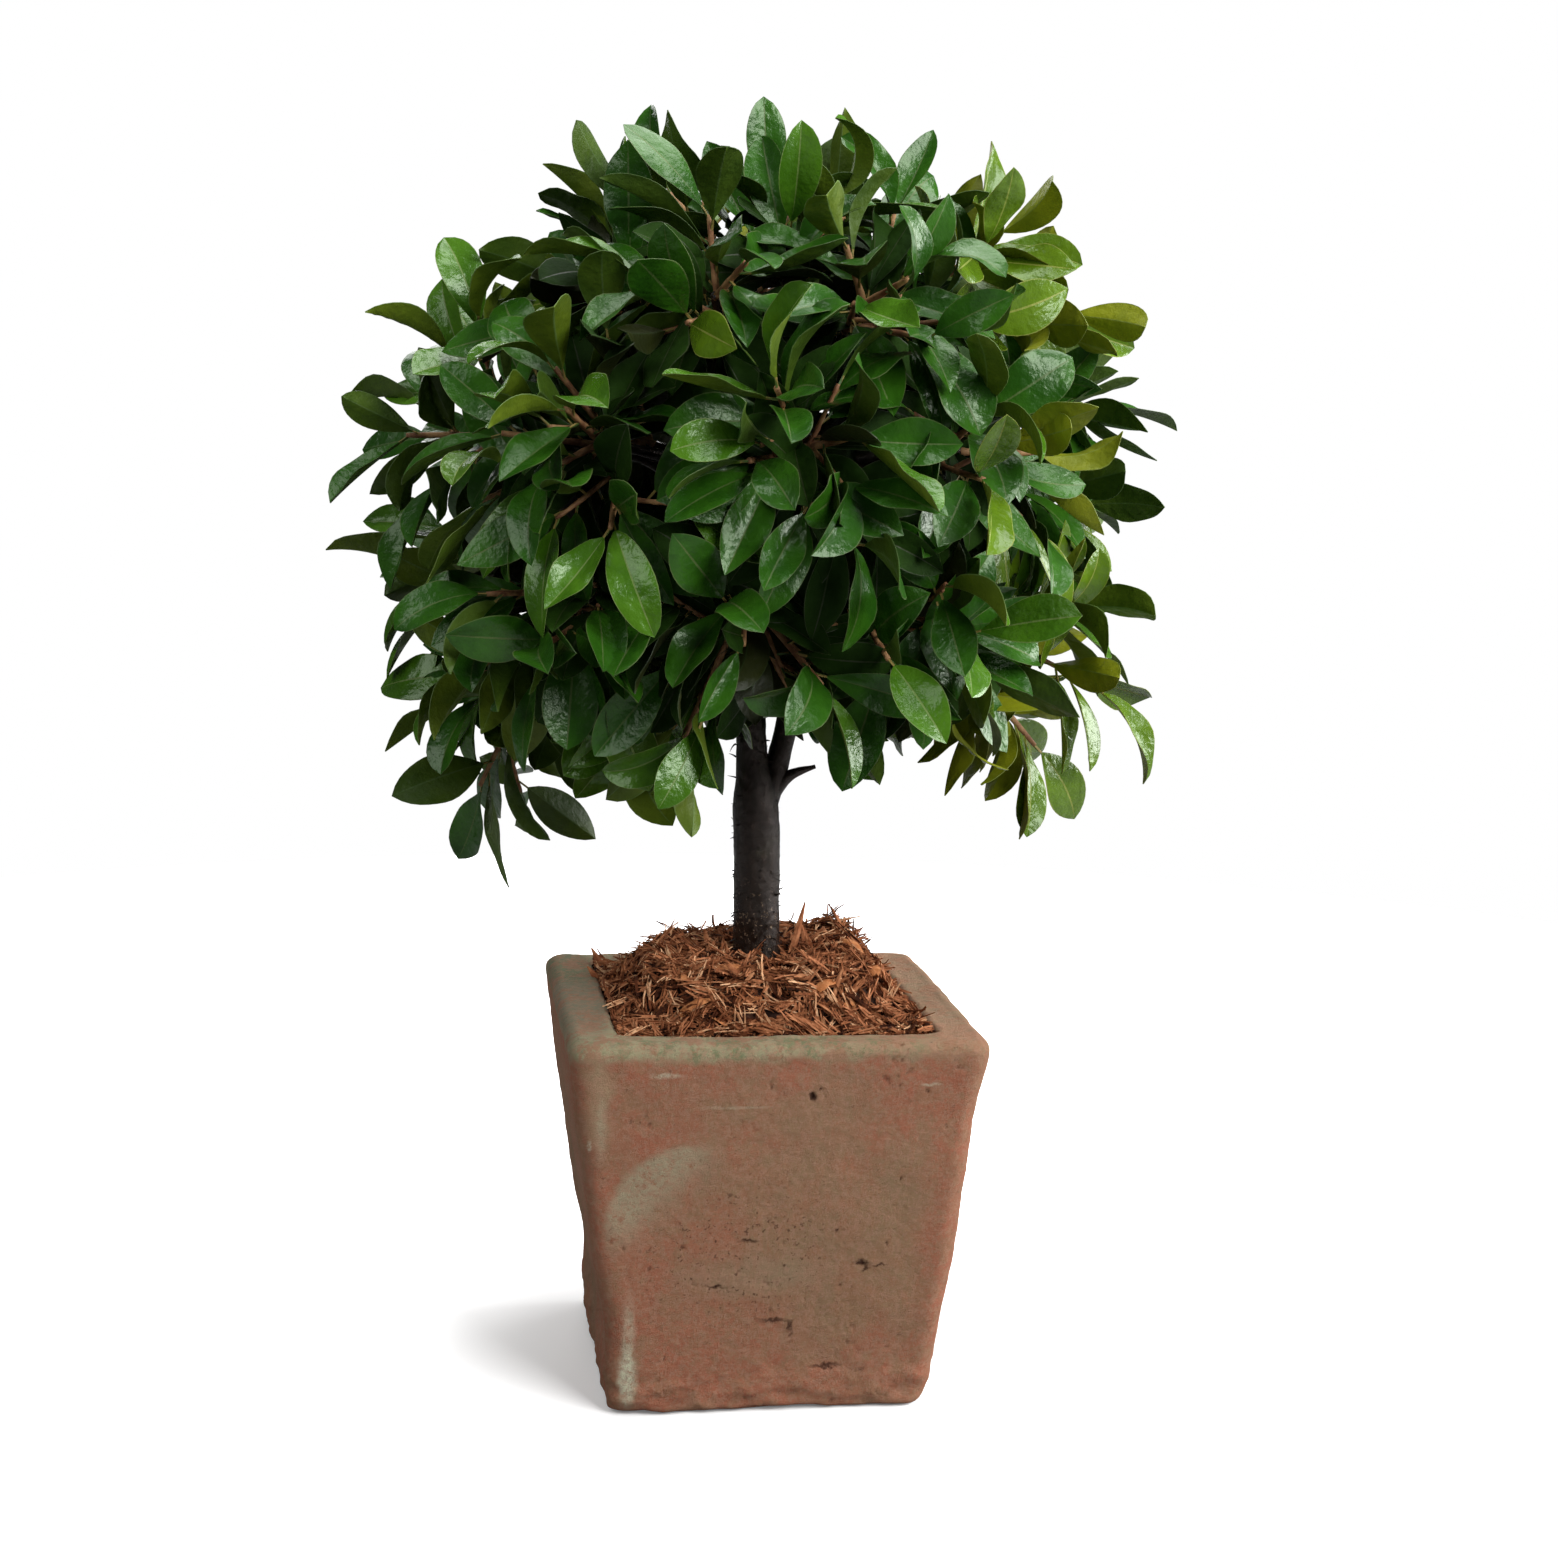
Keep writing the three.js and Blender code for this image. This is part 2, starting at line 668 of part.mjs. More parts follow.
// The mass's core: a drum whose corners reach the edges of its space, cut clear of the limbs.
function coreSolid(mass, head) {
  const level = new THREE.Vector3(0, 1, 0).cross(mass.direction).normalize();
  const corners = Array.from({ length: CORE.sides }, (_, i) => {
    const side = level.clone().applyAxisAngle(mass.direction, (i * 2 * Math.PI) / CORE.sides);
    return mass.direction.clone().applyAxisAngle(side, widestAngle(mass, head, side));
  });
  const geometry = new THREE.CylinderGeometry(1, 1, 1, CORE.sides);
  const position = geometry.getAttribute("position");
  for (let i = 0; i < position.count; i += 1) {
    const x = position.getX(i);
    const z = position.getZ(i);
    const isCorner = Math.hypot(x, z) > 0.5;
    const place = Math.round((Math.atan2(x, z) / (2 * Math.PI)) * CORE.sides);
    const direction = isCorner ? corners[(place + CORE.sides) % CORE.sides] : mass.direction;
    const crest = isCorner ? CORE.outer : CORE.outer + CORE.bulge;
    const reach = position.getY(i) > 0 ? crest : CORE.inner;
    const at = CROWN.clone().addScaledVector(direction, reach);
    position.setXYZ(i, at.x, at.y, at.z);
  }
  return head.clearances.reduce((core, limb) => core.subtract(limb), solidOf(geometry));
}

// A spray's twig: three-sided, with a flat side under each rank of leaves.
function twigSolid(spray) {
  const { along, level, steep } = twigSides(spray);
  const corners = [0.5, 1.5, 2.5].map((rank) => {
    const angle = spray.start + rank * RANK_ANGLE;
    return new THREE.Vector2(Math.cos(angle), Math.sin(angle)).multiplyScalar(TWIG.radius);
  });
  const depth = spray.tip.distanceTo(spray.root);
  const geometry = new THREE.ExtrudeGeometry(new THREE.Shape(corners), { depth, bevelEnabled: false });
  geometry.applyMatrix4(new THREE.Matrix4().makeBasis(level, steep, along));
  geometry.translate(spray.root.x, spray.root.y, spray.root.z);
  return solidOf(geometry);
}

function stemSolid([root, tip]) {
  const radiusAt = (share) => THREE.MathUtils.lerp(BOUGH.tipRadius, STEM.tipRadius, share);
  return solidOf(limbGeometry(new THREE.LineCurve3(root, tip), radiusAt, STEM.sides, 1));
}

function massSolid(mass, head) {
  const leaves = growMass(mass, head);
  return wasm.Manifold.union([
    stemSolid(mass.stem),
    coreSolid(mass, head),
    ...mass.sprays.map(twigSolid),
    ...leaves.map(leafSolid),
  ]);
}

// Assembly

const pottery = materialOf(COLOURS.terracotta, 0.9);
const bark = materialOf(COLOURS.bark, 0.9);
const foliage = materialOf(COLOURS.leaf, 0.45);

addNode("terracotta_pot", potSolid(), pottery);
addNode("soil_fill", wellBlock(POT.floor + GAP, SOIL_TOP, GAP), materialOf(COLOURS.soil, 1));

const drawChip = seededStream(7);
const chips = Array.from({ length: CHIP.count }, () => mulchChip(drawChip));
const heap = mulchMound().intersect(wellBlock(MULCH.foot, POT.height + POT.wall, GAP));
const mulch = wasm.Manifold.union([heap, ...chips]).subtract(trunkSolid(1.5 * GAP));
addNode("bark_mulch", mulch, materialOf(COLOURS.mulch, 0.95));

addNode("trunk", trunkSolid(0), bark);

// The mass at the top has no bough: its stem stands on the leader's tip.
const masses = layOutMasses();
const boughs = masses.slice(1).map(layOutBough);
masses[0].tip = trunkAt(TRUNK_TOP).middle;
for (const bough of boughs) {
  const limb = boughSolid(bough, 0);
  const whole = bough.forked ? limb.add(stubSolid(bough)) : limb;
  addNode("bough_" + bough.mass.name, whole.subtract(trunkSolid(1.5 * GAP)), bark);
}

shareOutSprays(masses);
const head = {
  masses,
  limbs: limbPoints(boughs),
  clearances: [trunkSolid(CORE.clearance), ...boughs.map((bough) => boughSolid(bough, CORE.clearance))],
};
for (const mass of masses) {
  addNode("foliage_" + mass.name, massSolid(mass, head), foliage);
}

export default topiary;
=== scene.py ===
import math
from types import SimpleNamespace as Values

import bpy
import numpy as np
from mathutils import Matrix, Vector, noise


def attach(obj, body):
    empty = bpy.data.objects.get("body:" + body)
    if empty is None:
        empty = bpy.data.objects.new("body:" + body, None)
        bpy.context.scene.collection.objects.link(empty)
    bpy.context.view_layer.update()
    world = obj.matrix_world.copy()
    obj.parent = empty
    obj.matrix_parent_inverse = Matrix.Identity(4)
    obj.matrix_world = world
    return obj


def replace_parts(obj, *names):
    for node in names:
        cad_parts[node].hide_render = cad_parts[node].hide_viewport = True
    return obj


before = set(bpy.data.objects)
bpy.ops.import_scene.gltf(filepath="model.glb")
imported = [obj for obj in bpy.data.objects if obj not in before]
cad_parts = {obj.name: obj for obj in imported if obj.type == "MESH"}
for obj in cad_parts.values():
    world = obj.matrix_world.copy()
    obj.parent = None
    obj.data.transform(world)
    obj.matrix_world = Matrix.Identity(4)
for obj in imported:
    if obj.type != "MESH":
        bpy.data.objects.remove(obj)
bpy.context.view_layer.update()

# The looks of an artificial bay topiary in a terracotta pot. Sizes are in millimetres, as the part's
# own are, and become metres where a mesh is made. +Z is up and the pot's front faces -Y.

MM = 0.001
PHOTO_WIDTH = 1558
SENSOR_WIDTH = 36
# Where the streams of random draws start. The masses' own go up by a step from one to the next.
SEEDS = Values(gouges=19, tones=77, hairs=8, leaves=12, twigs=21, first_mass=100, mass_step=7)

FLOOR = Values(radius=1.4, sides=96, below=0.0004, glow=0.14, fade=(0.1, 0.27))
SURROUND_LIGHT = 0.045
# Soft lights: name, place and aim in the viewer's frame in metres, size and power.
LIGHTS = [
    ("key", (1.2, -1.3, 1.35), (0, 0, 0.3), 1.1, 52),
    ("top", (0.35, 0.2, 1.9), (0, 0, 0.3), 1.4, 36),
    ("side", (1.7, 0.3, 0.7), (0, 0, 0.35), 0.9, 36),
    ("fill", (-1.3, -0.9, 1.3), (0, 0, 0.2), 1.1, 13),
    ("back", (-0.5, 1.7, 1.2), (0, 0, 0.3), 1.2, 15),
]
# The camera, which was fitted to the pot's corners: its place in the viewer's frame, which is the
# pot's turned by yaw, its angles in radians and its focal length in the photo's pixels.
CAMERA = Values(place=(9.3, -1205.3, 489.2), yaw=0.1592, pitch=0.1525, roll=0.0282, focal=2413.4)

POT = Values(
    height=191, foot_width=154, rim_width=200, wall=21, floor=18,
    outer_corner=11, inner_corner=7, foot_lip=2.5, rim_lip=6.5, inner_lip=4,
)
CORNER_STEPS = 7
# Steps along the front, right, back and left faces, round the pot and round the mulch's bed.
POT_STEPS = (240, 66, 66, 66)
BED_STEPS = (24, 24, 24, 24)
# How far the clay stands out or in, and the size of those waves.
CLAY_WAVES = [(1.0, 80), (0.7, 26), (0.34, 8), (0.16, 3.2)]
# Where the walls belly out or in: the way that the wall faces, height, spread and depth.
WALL_WAVES = [
    ((1, 0), 50, 75, 4.8), ((1, 0), 182, 24, 2.4), ((-1, 0), 150, 60, 2.6),
    ((-1, 0), 42, 20, -2.6), ((-1, 0), 14, 18, 2.0), ((0, -1), 4, 16, 2.0),
]
# Gouges in the front face: across, up, half length, half height and depth.
FRONT_GOUGES = [
    (15, 165, 1.7, 1.3, 2.4), (17, 168, 2.0, 0.6, 1.4), (70, 167, 1.5, 0.8, 1.4), (43, 77, 2.6, 0.8, 2.2),
    (47, 74, 2.6, 0.6, 1.4), (54, 88, 1.7, 0.8, 1.4), (30, 95, 0.9, 0.9, 1.6), (33, 66, 0.8, 0.8, 1.2),
    (-14, 91, 1.8, 0.5, 1.2), (-17, 75, 1.2, 0.6, 1.0), (-45, 88, 1.4, 0.9, 1.2), (-27, 67, 1.6, 0.5, 1.0),
    (-38, 78, 1.0, 0.9, 1.0), (60, 122, 0.9, 0.9, 1.1), (80, 148, 0.9, 0.9, 1.1), (78, 92, 0.8, 0.8, 1.0),
    (10, 40, 0.7, 1.4, 1.4), (-8, 49, 0.7, 1.2, 1.2), (-52, 30, 0.9, 1.3, 1.0), (46, 20, 2.2, 0.9, 1.0),
]
GOUGE_BITES = 5  # small bites, side by side, that make up each gouge
OTHER_GOUGES = 16  # on each of the other faces
# Waves of the clay near its foot: how far, how flattened, where in the noise, and size. They die
# away between two heights.
FOOT_WAVES = [(1.9, 1.6, 90, 15), (0.9, 1.3, 150, 6)]
FOOT_FADE = (4, 40)
# How far the foot's edge lifts off the floor in places, their size, and where that dies away.
FOOT_LUMP = Values(rise=3, size=24, fade=(2, 22))
PORES = Values(depth=0.8, size=3.1, cluster=19, fade=(0.15, 0.35))
CLAY = {
    "red": (0.480, 0.174, 0.100),
    "brown": (0.415, 0.212, 0.122),
    "khaki": (0.345, 0.238, 0.130),
    "dust": (0.500, 0.282, 0.182),
    "chalk": (0.740, 0.720, 0.520),
    "crescent": (0.475, 0.388, 0.250),
    "rim": (0.430, 0.400, 0.238),
    "rim_grey": (0.235, 0.225, 0.150),
    "moss": (0.165, 0.220, 0.098),
    # Dark flecks, and the painted shade laid in the pits and gouges.
    "dark": (0.085, 0.038, 0.025),
    "crack": (0.050, 0.018, 0.010),
}
# Soft patches on the clay: colour, middle, half sizes and share.
PATCHES = [
    ("khaki", (56, -86, 92), (18, 30, 46), 0.5), ("khaki", (4, -84, 94), (56, 30, 48), 0.5),
    # The dust patch on the left face is partly painted light: it is laid thickly to brighten that face,
    # which the lamps leave shaded.
    ("crescent", (-12, -84, 73), (36, 30, 9), 0.35), ("dust", (-92, 0, 90), (12, 100, 90), 0.6),
    ("khaki", (-15, -95, 158), (80, 30, 9), 0.3), ("red", (-62, -94, 158), (30, 30, 22), 0.5),
    ("red", (-66, -84, 78), (22, 30, 22), 0.5), ("red", (84, -88, 96), (11, 30, 70), 0.5),
    ("red", (0, -78, 10), (110, 30, 14), 0.5), ("red", (-30, -80, 36), (40, 30, 24), 0.4),
    ("khaki", (86, 10, 120), (30, 60, 40), 0.5), ("khaki", (-88, 20, 80), (30, 40, 60), 0.5),
    ("khaki", (20, 88, 100), (60, 30, 40), 0.5), ("red", (-40, 88, 60), (40, 30, 50), 0.5),
    ("rim", (-86, -93, 164), (6, 30, 26), 0.5), ("red", (-84, -90, 110), (7, 30, 28), 0.7),
    ("red", (24, -80, 16), (15, 30, 7), 0.6), ("khaki", (38, -84, 50), (12, 30, 14), 0.5),
    ("red", (-30, -88, 92), (14, 30, 18), 0.6), ("rim_grey", (94, 0, 189), (14, 96, 9), 0.4),
]
# Pale smears and drips: middle, half sizes and share.
SMEARS = [
    ((-70, -81, 42), (3.0, 30, 18), 0.5), ((-70, -80, 20), (3.9, 30, 13), 1.0),
    ((-86, -95, 150), (2.4, 30, 16), 0.2), ((-91, -94, 141), (1.2, 30, 2.6), 0.9),
    ((-57, -99, 177), (7.0, 30, 1.3), 0.6), ((-22, -97, 160), (15, 30, 0.8), 0.25),
    ((72, -97, 170), (4.0, 30, 0.8), 0.6), ((84, 92, 60), (4.0, 30, 26), 0.6),
    ((97, -40, 140), (30, 4, 22), 0.4),
]
# Dark hairline cracks in the front face: middle and half sizes.
CRACKS = [
    ((1, -83, 48), (6.0, 30, 0.9)), ((9, -83, 45), (0.8, 30, 2.6)), ((44, -86, 78), (3.4, 30, 1.1)),
    ((45, -86, 75), (0.9, 30, 2.2)), ((52, -86, 76), (3.4, 30, 0.6)), ((-13, -89, 91), (3.6, 30, 0.8)),
    ((-28, -86, 67), (3.8, 30, 0.7)), ((15, -96, 165), (1.6, 30, 2.0)), ((28, -80, 23), (6.5, 30, 0.9)),
]

MULCH = Values(edge=190, peak=214, flat=46, bump=1.8, bed=6, foot=173)
# How near the stem bundles may lie before they are moved aside, how far, and their depths.
BUNDLES = Values(clear=3, aside=16, depths=(-2.2, 1.6))
# Where the heap stands higher or lower: across, back, rise and spread.
HUMPS = [(44, 22, 9, 22), (0, -16, -3, 14)]
# Splinters that stand up: across, back, and the way and length that each one goes.
STANDING = [
    (17, -4, (7, 0, 31)), (28, 4, (-4, 1, 15)), (48, 14, (-5, 0, 14)), (-22, 12, (-3, 0, 13)),
    (-70, 70, (-8, 4, 14)), (-74, 40, (-9, -3, 12)), (60, 44, (7, 2, 12)), (10, 58, (2, 5, 14)),
]
# Broad chips that lie on the heap: across, back, and the way that each one goes.
LYING = [
    (-26, -40, (13, -6)), (-46, -62, (15, 2)), (22, -58, (10, 6)), (58, -22, (-3, -12)),
    (46, 4, (8, -9)), (-62, -12, (6, -11)), (28, 40, (-12, 5)), (-30, 52, (-12, 6)),
]
SPLINTER_RINGS = 4
EVEN_STEPS = (0.7548777, 0.5698403)  # spread any number of points evenly over a square
# Kinds of splinter: name, seed, bundles, how many in each, length, width, how steep and colours.
SPLINTERS = [
    ("red", 31, 600, 6, 15.5, 1.05, 0.3, [(0.250, 0.085, 0.036), (0.400, 0.165, 0.075)]),
    ("brown", 32, 600, 6, 14, 1.1, 0.3, [(0.120, 0.036, 0.014), (0.230, 0.083, 0.034)]),
    ("tan", 33, 230, 5, 16, 0.85, 0.3, [(0.460, 0.225, 0.110), (0.680, 0.400, 0.225)]),
    ("dark", 34, 260, 5, 15, 1.5, 0.16, [(0.024, 0.007, 0.003), (0.075, 0.021, 0.008)]),
    ("loose", 35, 420, 1, 12, 1.4, 0.4, [(0.290, 0.110, 0.048), (0.450, 0.210, 0.102)]),
    ("chips", 36, 26, 1, 13, 5.0, 0.12, [(0.330, 0.116, 0.040), (0.460, 0.190, 0.076)]),
]

# The trunk's middle and radius at a few heights: the cut, the mulch, the fork, the leader's tip.
TRUNK = np.array([
    (1, 172.3, 13.4), (1, 192, 13.1), (0, 224, 12.3), (-1, 266, 11.5),
    (-2, 290, 10.9), (-5, 316, 8.2), (-8, 400, 6.8), (-8, 506, 4.6),
])
TRUNK_FOOT = TRUNK[0, 1]
TRUNK_TIP = TRUNK[-1, 1]
CROWN = np.array((-8.0, 1.0, 455.0))
BOUGH = Values(
    reach=64, straight=29, rise=44, root=3.6, tip=2.8, stagger=6, skip=3, rings=40, sides=12, relief=0.18
)
# The fork's limb bends at places out and up from its root, and at one back and down from its tip.
FORK = Values(
    mass="middle_right", root_height=276, root=6.6, bends=[(9, 28), (20, 80)], back=26, below=12,
    rings=90, sides=24, relief=0.3,
)
STUB = Values(at=0.09, length=24, rise=17, root=5.0, tip=1.1, rings=16, sides=14, relief=0.28)
# The trunk's rings are close up to a height under the head, and further apart above it.
BARK = Values(close_to=330, close_rings=150, wide_from=333, wide_rings=60, sides=60, relief=0.4, inset=0.5)
# Heights between which the trunk swells by 1 under the fork, and thins again.
SWELL = Values(rise=(236, 282), fall=(286, 312))
HAIRS = Values(count=170, heights=(196, 326), lengths=(0.9, 3.8), radii=(0.42, 0.3, 0.2, 0.07))
STEM = Values(end=112, tip=1.9)
TWIG = Values(root=1.9, tip=1.3, first=0.4, last=0.9, end=0.95, in_line=10)
SIDE_TWIG = Values(
    count=3, nearest=24, furthest=84, length=42, lengths=(0.75, 1.15), turn=0.8, turns=(0.8, 1.25),
    short_by=4, root=1.3, tip=1.0, leaves=5, leaf_scale=0.96,
)
# Leaves rooted deeper in the head than deep_depth, and than inner_depth, take darker tones as painted
# shade.
LEAF = Values(
    length=53, smallest=0.86, largest=1.1, most=9, overhang=47, spacing=6.6, first_root=1.5, lowest_root=78,
    opening=30, opening_step=7, opening_spread=10, wider_try=0.4, hang=0.1, upturn=0.6, roll=1.3, stray=0.7,
    limb_clearance=2, near_tips=130, inner_depth=77, deep_depth=62,
)
# The outline that stands for a leaf in the tests, as shares of its length.
LEAF_TEST = Values(root=0.1, widest=0.56, half=0.22, arch=0.05)
GOLDEN_ANGLE = math.pi * (3 - math.sqrt(5))
RANK_ANGLE = 2 * math.pi / 3
SPRAYS = Values(
    count=100, lowest=-76, seed=41, jitter=0.3, shortest=0.94, apart=12, underside=0.34, gather=0.15
)
SIDES = ["front", "front_right", "right", "back_right", "back_left", "left", "front_left"]
# The masses in rings: level, azimuth of the first, elevation, sides, and the reach of each.
RINGS = [
    ("crown", 0, 88, ["top"], [186]),
    ("upper", -24, 49, SIDES[:6], [186, 190, 198, 192, 188, 180]),
    ("middle", 3, 8, SIDES, [190, 198, 210, 202, 200, 204, 196]),
    ("lower", -9, -38, SIDES, [196, 206, 222, 212, 210, 224, 214]),
]
# How far the head reaches without its outlying sprays, at sines of the elevation.
HEAD_REACH = [(-1, -0.62, 0.14, 0.75, 1), (140, 205, 196, 190, 186)]
# Where the fork and the stem stay in view from the front: across and up, at the stem.
FORK_VIEW = Values(across=(-15, 30), top=318)
# The sprays that stand out of the head: azimuth, elevation and the reach of their tips.
OUTLYING = [
    (265, 5, 218), (251, -20, 222), (257, -38, 226), (256, -50, 258), (262, 60, 182),
    (262, 20, 204), (262, -66, 190), (262, 72, 189), (81, 63, 192), (81, 46, 212),
    (81, 29, 218), (92, 13, 221), (90, -4, 216), (84, -30, 250), (86, -42, 246),
    (81, -60, 172), (-28, -54, 200), (-20, -68, 172), (14, -58, 176), (10, -40, 190),
]
# Young sprays: azimuth and elevation.
YOUNG_SPRAYS = [(-68, -11), (-60, -44), (60, -16), (150, 20), (215, -25)]
YOUNG_WITHIN = 9  # degrees of one of those
LIT_SIDE = 81  # azimuth of the lit side, where the leaves are more often olive as painted light
# Shares of olive sprays, and of deep ones among the rest, away from that side and on it: more olive and
# fewer deep sprays on the lit side are painted light and painted shade.
OLIVE_SHARES = (0.11, 0.66)
DEEP_SHARES = (0.5, 0.25)

BLADE = Values(
    longer=1.06,  # than the length that the tests know
    petiole=0.12,  # share of the whole length
    width=0.5,  # share of the blade's length
    thickness=0.5, margin=0.22, petiole_half=0.6,
    slant=0.17, veins=6, vein_depth=0.6, pucker=0.24, rib_height=0.5,
)
# Leaves bend by an angle that varies about a middle between limits, and twist either way.
BENDS = Values(middle=0.5, spread=0.6, limits=(-0.7, 1.8), twist=0.42)
# What else varies from leaf to leaf, and between what.
VARIED = {
    "fold": (0.14, 0.72), "curl": (0, 0.26), "wave": (0, 0.14), "phase": (0, 1),
    "plump": (0.84, 1.08), "rise": (0.85, 1.2), "fall": (0.66, 0.98),
}
ROWS_A_VEIN = 2
PETIOLE_ROWS = 2
COLUMNS = np.array((-1, -0.965, -0.5, -0.04, 0.04, 0.5, 0.965, 1))
GLOSS_TINT = (0.86, 1.0, 0.78, 1)
# The colours of each tone's sides and edges, and how glossy and rough its upper side is.
TONES = {
    # The inner tone's near-black colours are painted shade for leaves deep in the head, where little light
    # reaches.
    "inner": Values(
        gloss=0.1,
        roughness=0.7,
        top=[(0.007, 0.023, 0.0015), (0.013, 0.038, 0.003)],
        under=[(0.013, 0.018, 0.002), (0.022, 0.028, 0.003)],
        edge=[(0.016, 0.030, 0.006), (0.026, 0.042, 0.010)],
    ),
    # The deep tone is partly the plant's own darker green and partly painted shade: it goes on leaves part
    # way into the head, and more often away from the lit side.
    "deep": Values(
        gloss=0.38,
        roughness=0.28,
        top=[(0.012, 0.056, 0.003), (0.024, 0.092, 0.005)],
        under=[(0.032, 0.066, 0.004), (0.052, 0.094, 0.006)],
        edge=[(0.048, 0.090, 0.020), (0.075, 0.120, 0.030)],
    ),
    "green": Values(
        gloss=0.45,
        roughness=0.25,
        top=[(0.031, 0.093, 0.004), (0.053, 0.141, 0.007)],
        under=[(0.066, 0.110, 0.005), (0.102, 0.150, 0.008)],
        edge=[(0.090, 0.150, 0.030), (0.120, 0.185, 0.045)],
    ),
    "olive": Values(
        gloss=0.42,
        roughness=0.25,
        top=[(0.056, 0.110, 0.004), (0.086, 0.157, 0.006)],
        under=[(0.142, 0.168, 0.004), (0.208, 0.230, 0.006)],
        edge=[(0.150, 0.190, 0.025), (0.190, 0.220, 0.035)],
    ),
    "young": Values(
        gloss=0.42,
        roughness=0.25,
        top=[(0.052, 0.120, 0.009), (0.080, 0.170, 0.014)],
        under=[(0.100, 0.170, 0.016), (0.145, 0.225, 0.026)],
        edge=[(0.150, 0.220, 0.050), (0.190, 0.260, 0.070)],
    ),
}
STALK_COLOURS = [(0.190, 0.150, 0.040), (0.290, 0.215, 0.065)]
WOOD_COLOURS = [(0.160, 0.064, 0.026), (0.360, 0.200, 0.085)]
# The bed's near-black colours are painted shade in the gaps between the splinters.
BED_COLOURS = [(0.020, 0.006, 0.003), (0.075, 0.024, 0.010)]
SOIL_COLOURS = [(0.03, 0.02, 0.013), (0.06, 0.04, 0.026)]
MOST_TRIANGLES = 190000


# Small tools


def seeded_stream(seed):
    """A stream of numbers between two limits, the same as the part's."""
    state = seed

    def draw(low=0, high=1):
        nonlocal state
        state = (state * 1664525 + 1013904223) % 2**32
        return mix(low, high, state / 2**32)

    draw()
    draw()
    return draw


def mix(a, b, share):
    return a + (b - a) * share


def smoothstep(x, low, high):
    share = np.clip((x - low) / (high - low), 0, 1)
    return share * share * (3 - 2 * share)


def unit(vectors):
    return vectors / np.linalg.norm(vectors, axis=-1, keepdims=True)


def noise_at(points, size):
    """Smooth noise from -1 to 1 at each point, in waves of about that size."""
    return np.array([noise.noise(point) for point in (points / size).tolist()])


def direction_to(azimuth, elevation):
    a = math.radians(azimuth)
    e = math.radians(elevation)
    return np.array((math.sin(a) * math.cos(e), -math.cos(a) * math.cos(e), math.sin(e)))


def turned(vectors, axes, angles):
    """Vectors turned about unit axes."""
    along = axes * np.sum(axes * vectors, axis=-1, keepdims=True)
    across = np.cross(axes, vectors)
    return along + (vectors - along) * np.cos(angles)[..., None] + across * np.sin(angles)[..., None]


# Meshes


def add_piece(name, points, faces, materials, slot, face_slots=None, crease=None):
    """A smooth mesh of triangles that rides on the pot, with its materials. The slot is not used."""
    mesh = bpy.data.meshes.new(name)
    mesh.from_pydata(points * MM, [], faces)
    if face_slots is not None:
        mesh.polygons.foreach_set("material_index", face_slots.astype(np.int32))
    for material in materials:
        mesh.materials.append(material)
    mesh.shade_smooth()
    if crease is not None:
        mesh.set_sharp_from_angle(angle=math.radians(crease))
    piece = bpy.data.objects.new(name, mesh)
    bpy.context.scene.collection.objects.link(piece)
    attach(piece, "root")
    return piece


def triangles_of(quads):
    """Two triangles for each quad of corner numbers."""
    return np.concatenate([quads[..., [0, 1, 2]], quads[..., [0, 2, 3]]], axis=-1).reshape(-1, 3)


def closed_rings(points):
    """Points and triangles of a body made of rings of points, with a middle point closing each end.
    The rings turn anticlockwise seen from the last one's side."""
    rings, sides, _ = points.shape
    here = np.arange(sides)
    beside = (here + 1) % sides
    ring = np.arange(rings - 1)[:, None] * sides
    walls = np.stack([ring + here, ring + beside, ring + sides + beside, ring + sides + here], axis=-1)
    middle = np.full(sides, rings * sides)
    last = (rings - 1) * sides
    first_end = np.stack([middle, beside, here], axis=-1)
    last_end = np.stack([middle + 1, last + here, last + beside], axis=-1)
    faces = np.concatenate([triangles_of(walls), first_end, last_end])
    return np.concatenate([points.reshape(-1, 3), points[[0, -1]].mean(axis=1)]), faces


def ways_across(paths, upright=None):
    """The two ways across each point of some paths, the second nearest to the way upright. Without
    that, it is the axis that each path runs along least."""
    along = unit(np.gradient(paths, axis=-2))
    if upright is None:
        upright = np.eye(3)[np.abs(along.mean(axis=1)).argmin(axis=1)][:, None]
    across = unit(np.cross(upright, along))
    return across, np.cross(along, across)


def spokes(across, up, sides):
    """The ways from the middle of each ring to its points."""
    angles = 2 * math.pi * np.arange(sides)[:, None] / sides
    return across[..., None, :] * np.cos(angles) + up[..., None, :] * np.sin(angles)


def tubes(paths, widths, heights, sides, upright=None):
    """Closed tubes along many paths at once. Paths are tubes by rings by 3, and widths and heights
    are the half sizes of the rings. Upright is the way that each tube's height points."""
    across, up = ways_across(paths, upright)
    out = spokes(across * np.asarray(widths)[..., None], up * np.asarray(heights)[..., None], sides)
    return joined([closed_rings(rings) for rings in paths[:, :, None] + out])


def joined(bodies):
    """Many bodies' points and triangles as one list of each."""
    starts = np.cumsum([0] + [len(points) for points, _ in bodies[:-1]])
    points = np.concatenate([points for points, _ in bodies])
    faces = np.concatenate([faces + start for start, (_, faces) in zip(starts, bodies)])
    return points, faces


# Materials


def add_node(tree, kind, inputs, output=0, **settings):
    """One output of a new node, with its settings made and its inputs joined or set."""
    made = tree.nodes.new("ShaderNode" + kind)
    for key, value in settings.items():
        setattr(made, key, value)
    for key, value in inputs.items():
        if isinstance(value, bpy.types.NodeSocket):
            tree.links.new(value, made.inputs[key])
        else:
            made.inputs[key].default_value = value
    return made.outputs[output]


